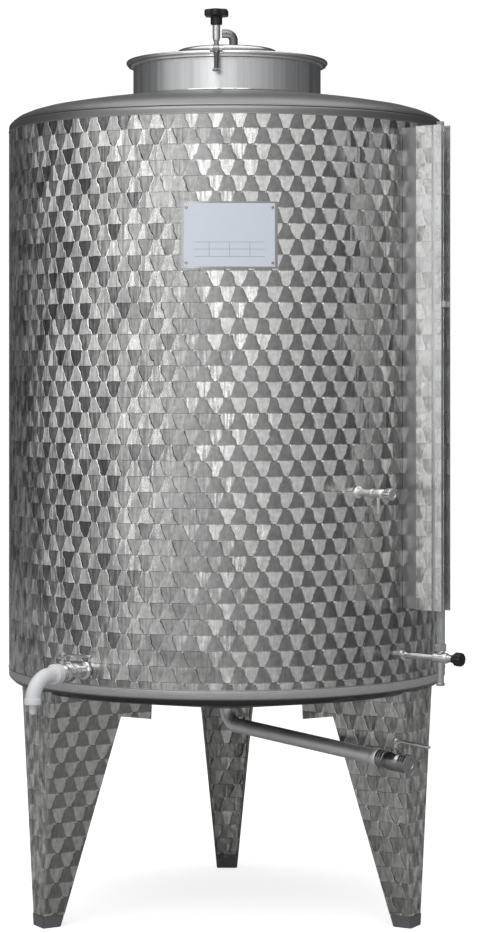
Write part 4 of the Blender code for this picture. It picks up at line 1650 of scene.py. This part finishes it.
@dataclass
class SampleTap:
    """The sampling tap on the right of the wall."""

    dresser: Dresser
    bearing: float = -56
    height: float = 0.968

    def build(self) -> None:
        """Makes the tap and its knob."""
        kit, place = self.dresser, Station(self.bearing, 0, self.height)
        body = lathe(
            "sample_body",
            BOSS + [(0.0075, 0.5448), (0.0092, 0.5468), (0.0100, 0.5488), (0.0100, 0.5600),
                    (0.0094, 0.5612), (0.0100, 0.5624), (0.0100, 0.5850), (0.0090, 0.5880),
                    (0.0066, 0.5902), (0.0065, 0.5976), (0, 0.5976)],
            place, 36, lie=True,
        )
        spout = lathe(
            "sample_outlet",
            [(0, 0), (0.0036, 0), (0.0036, -0.0425), (0.0033, -0.0430), (0.0022, -0.0430),
             (0.0021, -0.036), (0, -0.036)],
            Station(self.bearing, 0.573, self.height), 20,
        )
        tap = join("sampling_tap", body, spout)
        kit.dress(tap, kit.palette.tap, Finish.FITTING, nodes=("sample_tap",))
        at = Station(self.bearing, 0.598, self.height)
        knob = fluted_knob("sample_handle", at, 0.026, 0.0135)
        kit.dress(knob, kit.palette.polished, Finish.FITTING, "sample_tap_knob", ("sample_knob",))


def fluted_knob(name: str, station: Station, length: float, radius: float) -> bpy.types.Object:
    """A hand knob with flutes, along local +X.

    Args:
        name: The new object's name.
        station: Its inner face.
        length: Its length.
        radius: Its radius.

    Returns:
        The finished object.
    """
    levels = (
        (0.58, 0, 0.0), (0.62, 0, 0.03), (0.62, 0, 0.24), (0.90, 0.4, 0.30), (0.98, 0.9, 0.34),
        (1, 1, 0.38), (1, 1, 0.86), (0.98, 0.9, 0.92), (0.90, 0.5, 0.98), (0.80, 0, 1.0),
        (0.55, 0, 1.0), (0.50, 0, 0.97),
    )
    rings = []
    for scale, deep, along in levels:
        reaches = [
            (turn, radius * scale - 0.0008 * deep * (1 - math.cos(12 * turn))) for turn in AROUND
        ]
        rings.append(
            [(along * length, out * math.cos(turn), out * math.sin(turn)) for turn, out in reaches]
        )
    return from_bmesh(name, skin(rings), station)


@dataclass
class Gauge:
    """The level gauge: guard channel, sight tube, clip and cock."""

    dresser: Dresser
    bearing: float = -40
    height: float = 0.610
    tube_at: float = 0.600
    low: float = 0.712
    high: float = 1.757
    back: float = 0.545
    front: float = 0.614
    half: float = 0.017
    sheet: float = 0.002

    def build(self) -> None:
        """Makes the gauge."""
        kit, place = self.dresser, Station(self.bearing)
        dress_node("gauge_standoff", kit.palette.fin)
        edge, sheet, half = self.back, self.sheet, self.half
        outline = round_corners(
            [(self.front, -half), (edge, -half), (edge, half), (self.front, half)], 0.004
        )
        inner = round_corners(
            [(self.front, half - sheet), (edge + sheet, half - sheet),
             (edge + sheet, -half + sheet), (self.front, -half + sheet)], 0.002
        )
        guard = extruded("guard_channel", outline + inner, self.low, self.high, place)
        kit.dress(guard, kit.palette.guard, Finish.GUARD, nodes=("gauge_guard",))
        # A slim raised bar in the lighter steel: painted highlight along the guard's fold.
        near, far = self.front - 0.025, self.front - 0.016
        right, left = -half - 0.0009, -half + 0.0002
        fold = extruded(
            "guard_fold", [(near, right), (far, right), (far, left), (near, left)],
            self.low, self.high, place, 0.0004,
        )
        kit.dress(fold, kit.palette.bright, Finish.GUARD)
        foot, top, wall = self.height + 0.0303, 1.765, 0.0015
        glass = lathe(
            "level_tube", [(0.008 - wall, top), (0.008, top), (0.008, foot), (0.008 - wall, foot)],
            Station(self.bearing, self.tube_at), 32, closed=True,
        )
        kit.dress(glass, kit.palette.clear, Finish.TUBE, nodes=("sight_tube",))
        dress_node("tube_clip", kit.palette.white)
        self._cock()

    def _cock(self) -> None:
        """The cock at the tube's foot and its black knob."""
        kit = self.dresser
        across = lathe(
            "cock_body",
            BOSS + [(0.0075, 0.5818), (0.0100, 0.5838), (0.0115, 0.5858), (0.0115, 0.6155),
                    (0.0102, 0.6185), (0.0080, 0.6200), (0.0080, 0.6315), (0, 0.6315)],
            Station(self.bearing, 0, self.height), 36, lie=True,
        )
        at = Station(self.bearing, self.tube_at, self.height)
        upright = lathe(
            "cock_upright",
            [(0, -0.060), (0.0050, -0.060), (0.0086, -0.060), (0.0092, -0.0594), (0.0092, -0.0546),
             (0.0086, -0.0540), (0.0076, -0.0532), (0.0075, 0.0135), (0, 0.0135)],
            at, 32,
        )
        nut = hexagon("tube_nut", 0.0138, 0.0140, 0.0298, at)
        cock = join("gauge_cock_body", across, upright, nut)
        kit.dress(cock, kit.palette.polished, Finish.FITTING, nodes=("gauge_cock",))
        knob = fluted_knob("cock_handle", Station(self.bearing, 0.632, self.height), 0.025, 0.015)
        kit.dress(knob, kit.palette.black, Finish.BLACK, "gauge_cock_knob", ("gauge_knob",))


@dataclass
class Nameplate:
    """The bare printed plate, its backing, screws and ruled table."""

    dresser: Dresser
    bearing: float = -89.4
    middle: float = 1.515
    seat: float = 0.5006
    backing: Point = (0.205, 0.142)
    face: Point = (0.193, 0.134)

    def build(self) -> None:
        """Makes the plate."""
        kit = self.dresser
        back = self._sheet("plate_back", self.backing, self.seat, 0.0025, 0, self.middle)
        kit.dress(back, kit.palette.satin, Finish.FITTING, nodes=("nameplate_backing",))
        front = self._sheet("plate_front", self.face, self.seat + 0.0031, 0.0015, 0, self.middle)
        kit.dress(front, kit.palette.plate, Finish.PLATE, nodes=("nameplate",))
        rules = [((0.150, 0.0009), 0.0, height) for height in (1.500, 1.485, 1.469)]
        rules += [((0.0009, 0.031), offset, 1.4845) for offset in (-0.043, 0.0, 0.043)]
        lines = [
            self._sheet("rule", size, 0.50525, 0.0002, offset, height)
            for size, offset, height in rules
        ]
        kit.dress(join("plate_table", *lines), kit.palette.ink, Finish.PLATE)
        head = [(0, 0.5052), (0.0030, 0.5052), (0.0030, 0.5060), (0.0022, 0.5068), (0, 0.5070)]
        turn, rise = math.degrees(0.0915 / 0.503), 0.0585
        places = [
            Station(self.bearing + side * turn, 0, self.middle + level * rise)
            for side in (-1, 1)
            for level in (-1, 1)
        ]
        screws = [lathe("screw", head, place, 20, lie=True) for place in places]
        kit.dress(join("plate_screws", *screws), kit.palette.satin, Finish.FITTING)

    def _sheet(
        self, name: str, size: Point, start: float, thick: float, offset: float, middle: float
    ) -> bpy.types.Object:
        """A plate bent to the wall.

        Args:
            name: The new object's name.
            size: Its width and height.
            start: How far its back is from the tank's axis.
            thick: Its thickness.
            offset: How far its middle lies to the right.
            middle: Height of its middle.

        Returns:
            The finished object.
        """
        rings = []
        spans = 24
        for i in range(spans + 1):
            turn = ((i / spans - 0.5) * size[0] + offset) / (start + thick / 2)
            section = ((start, -1), (start + thick, -1), (start + thick, 1), (start, 1))
            rings.append([
                (reach * math.cos(turn), reach * math.sin(turn), middle + side * size[1] / 2)
                for reach, side in section
            ])
        return from_bmesh(name, skin(rings), Station(self.bearing))


@dataclass
class Studio:
    """The floor, backdrop, lights and camera."""

    distance: float = 5.984
    eye: float = 1.23
    focal: float = 2600.0
    long_side: float = 933.0
    shift: Point = (17.0, -96.5)
    bright_bearing: float = -112.0
    surround: Point = (0.14, 0.68)
    bright_tilt: float = 0.10
    spill: float = 0.57
    falloff: float = 1.6
    card_shade: float = -0.5
    backdrop: float = 1.05
    tint: tuple[float, ...] = (0.985, 0.99, 1.0, 1)
    aim: float = 1.1
    floor_half: float = 7.0
    floor_below: float = 0.0005
    floor_tone: Point = (0.45, 0.48)
    floor_glow: float = 0.74
    card_edge: Point = (0.2135, 0.305)

    def build(self) -> None:
        """Sets the stage."""
        self._floor()
        self._world()
        self._lights()
        self._camera()

    def _floor(self) -> None:
        """A pale floor that lights the tank a little from below."""
        half = self.floor_half
        obj = start_from_points("floor", [(-half, 0.0), (half, 0.0)])
        bpy.ops.mesh.extrude_region_move(TRANSFORM_OT_translate={"value": (0, 2 * half, 0)})
        bpy.ops.object.mode_set(mode="OBJECT")
        carry(obj, Matrix.Translation((0, -half, -self.floor_below)))
        graph = Graph("floor_paint")
        seen = graph.node("ShaderNodeLightPath").outputs["Is Camera Ray"]
        graph.tint(graph.line(seen, *self.floor_tone), (1.0, 1.0, 1.0))
        glow = graph.times(seen, self.floor_glow)
        graph.set(Roughness=0.9, Emission_Color=(1, 1, 1, 1), Emission_Strength=glow)
        obj.data.materials.append(graph.material)

    def _world(self) -> None:
        """A surround that is brightest past the camera's left, and plain white behind the tank."""
        world = bpy.data.worlds.new("surround")
        bpy.context.scene.world = world
        world.use_nodes = True
        nodes = Nodes(world.node_tree)
        towards = nodes.node("ShaderNodeTexCoord").outputs["Generated"]
        turn = math.radians(self.bright_bearing)
        bright = (math.cos(turn), math.sin(turn), self.bright_tilt)
        share = nodes.math("ADD", nodes.vector("DOT_PRODUCT", towards, bright), self.spill)
        share = nodes.math("MAXIMUM", nodes.math("DIVIDE", share, 1 + self.spill), 0.0)
        share = nodes.math("POWER", share, self.falloff)
        glow = nodes.line(share, self.surround[1], self.surround[0])
        split = nodes.node("ShaderNodeSeparateXYZ")
        nodes.feed(split.inputs[0], towards)
        edge = nodes.line(split.outputs["X"], self.card_edge[1], self.card_edge[0])
        card = nodes.math("GREATER_THAN", split.outputs["Y"], edge)
        glow = nodes.times(glow, nodes.line(card, self.card_shade, 1.0))
        seen = nodes.node("ShaderNodeLightPath").outputs["Is Camera Ray"]
        hidden = nodes.math("SUBTRACT", 1.0, seen)
        strength = nodes.line(hidden, glow, nodes.times(seen, self.backdrop))
        background = world.node_tree.nodes["Background"]
        nodes.feed(background.inputs["Strength"], strength)
        nodes.feed(background.inputs["Color"], self.tint)

    def _lights(self) -> None:
        """Large soft lights high above, and one slim strip for the streaks on round steel."""
        for name, place, size, power in (
            ("high_front", (-0.9, -3.6, 5.6), (6.0, 4.0), 125),
            ("top", (0.0, 0.6, 5.2), (5.0, 3.4), 60),
            ("strip", (-1.6, -5.2, 1.7), (0.35, 2.6), 8),
        ):
            data = bpy.data.lights.new(name, "AREA")
            data.shape, data.size, data.size_y, data.energy = "RECTANGLE", *size, power
            lamp = bpy.data.objects.new(name, data)
            bpy.context.scene.collection.objects.link(lamp)
            lamp.location = place
            towards = Vector((0, 0, self.aim)) - Vector(place)
            lamp.rotation_euler = towards.to_track_quat("-Z", "Y").to_euler()

    def _camera(self) -> None:
        """The photograph's viewpoint, solved from its rims and legs."""
        data = bpy.data.cameras.new("camera")
        data.sensor_fit, data.sensor_width = "AUTO", 36.0
        data.lens = self.focal * data.sensor_width / self.long_side
        data.shift_x, data.shift_y = (value / self.long_side for value in self.shift)
        data.dof.use_dof = False
        camera = bpy.data.objects.new("camera", data)
        bpy.context.scene.collection.objects.link(camera)
        camera.location = (AXIS_X, AXIS_Y - self.distance, self.eye)
        camera.rotation_euler = (math.pi / 2, 0, 0)
        bpy.context.scene.camera = camera


def main() -> None:
    """Builds every piece and the studio."""
    bpy.context.scene.view_settings.view_transform = "Standard"
    dresser = Dresser(Palette())
    vessel = Vessel(dresser)
    vessel.build()
    Manway(dresser, vessel).build()
    Legs(dresser, vessel).build()
    OutletTap(dresser).build()
    Drain(dresser, vessel).build()
    SampleTap(dresser).build()
    Gauge(dresser).build()
    Nameplate(dresser).build()
    Studio().build()


if __name__ == "__main__":
    main()
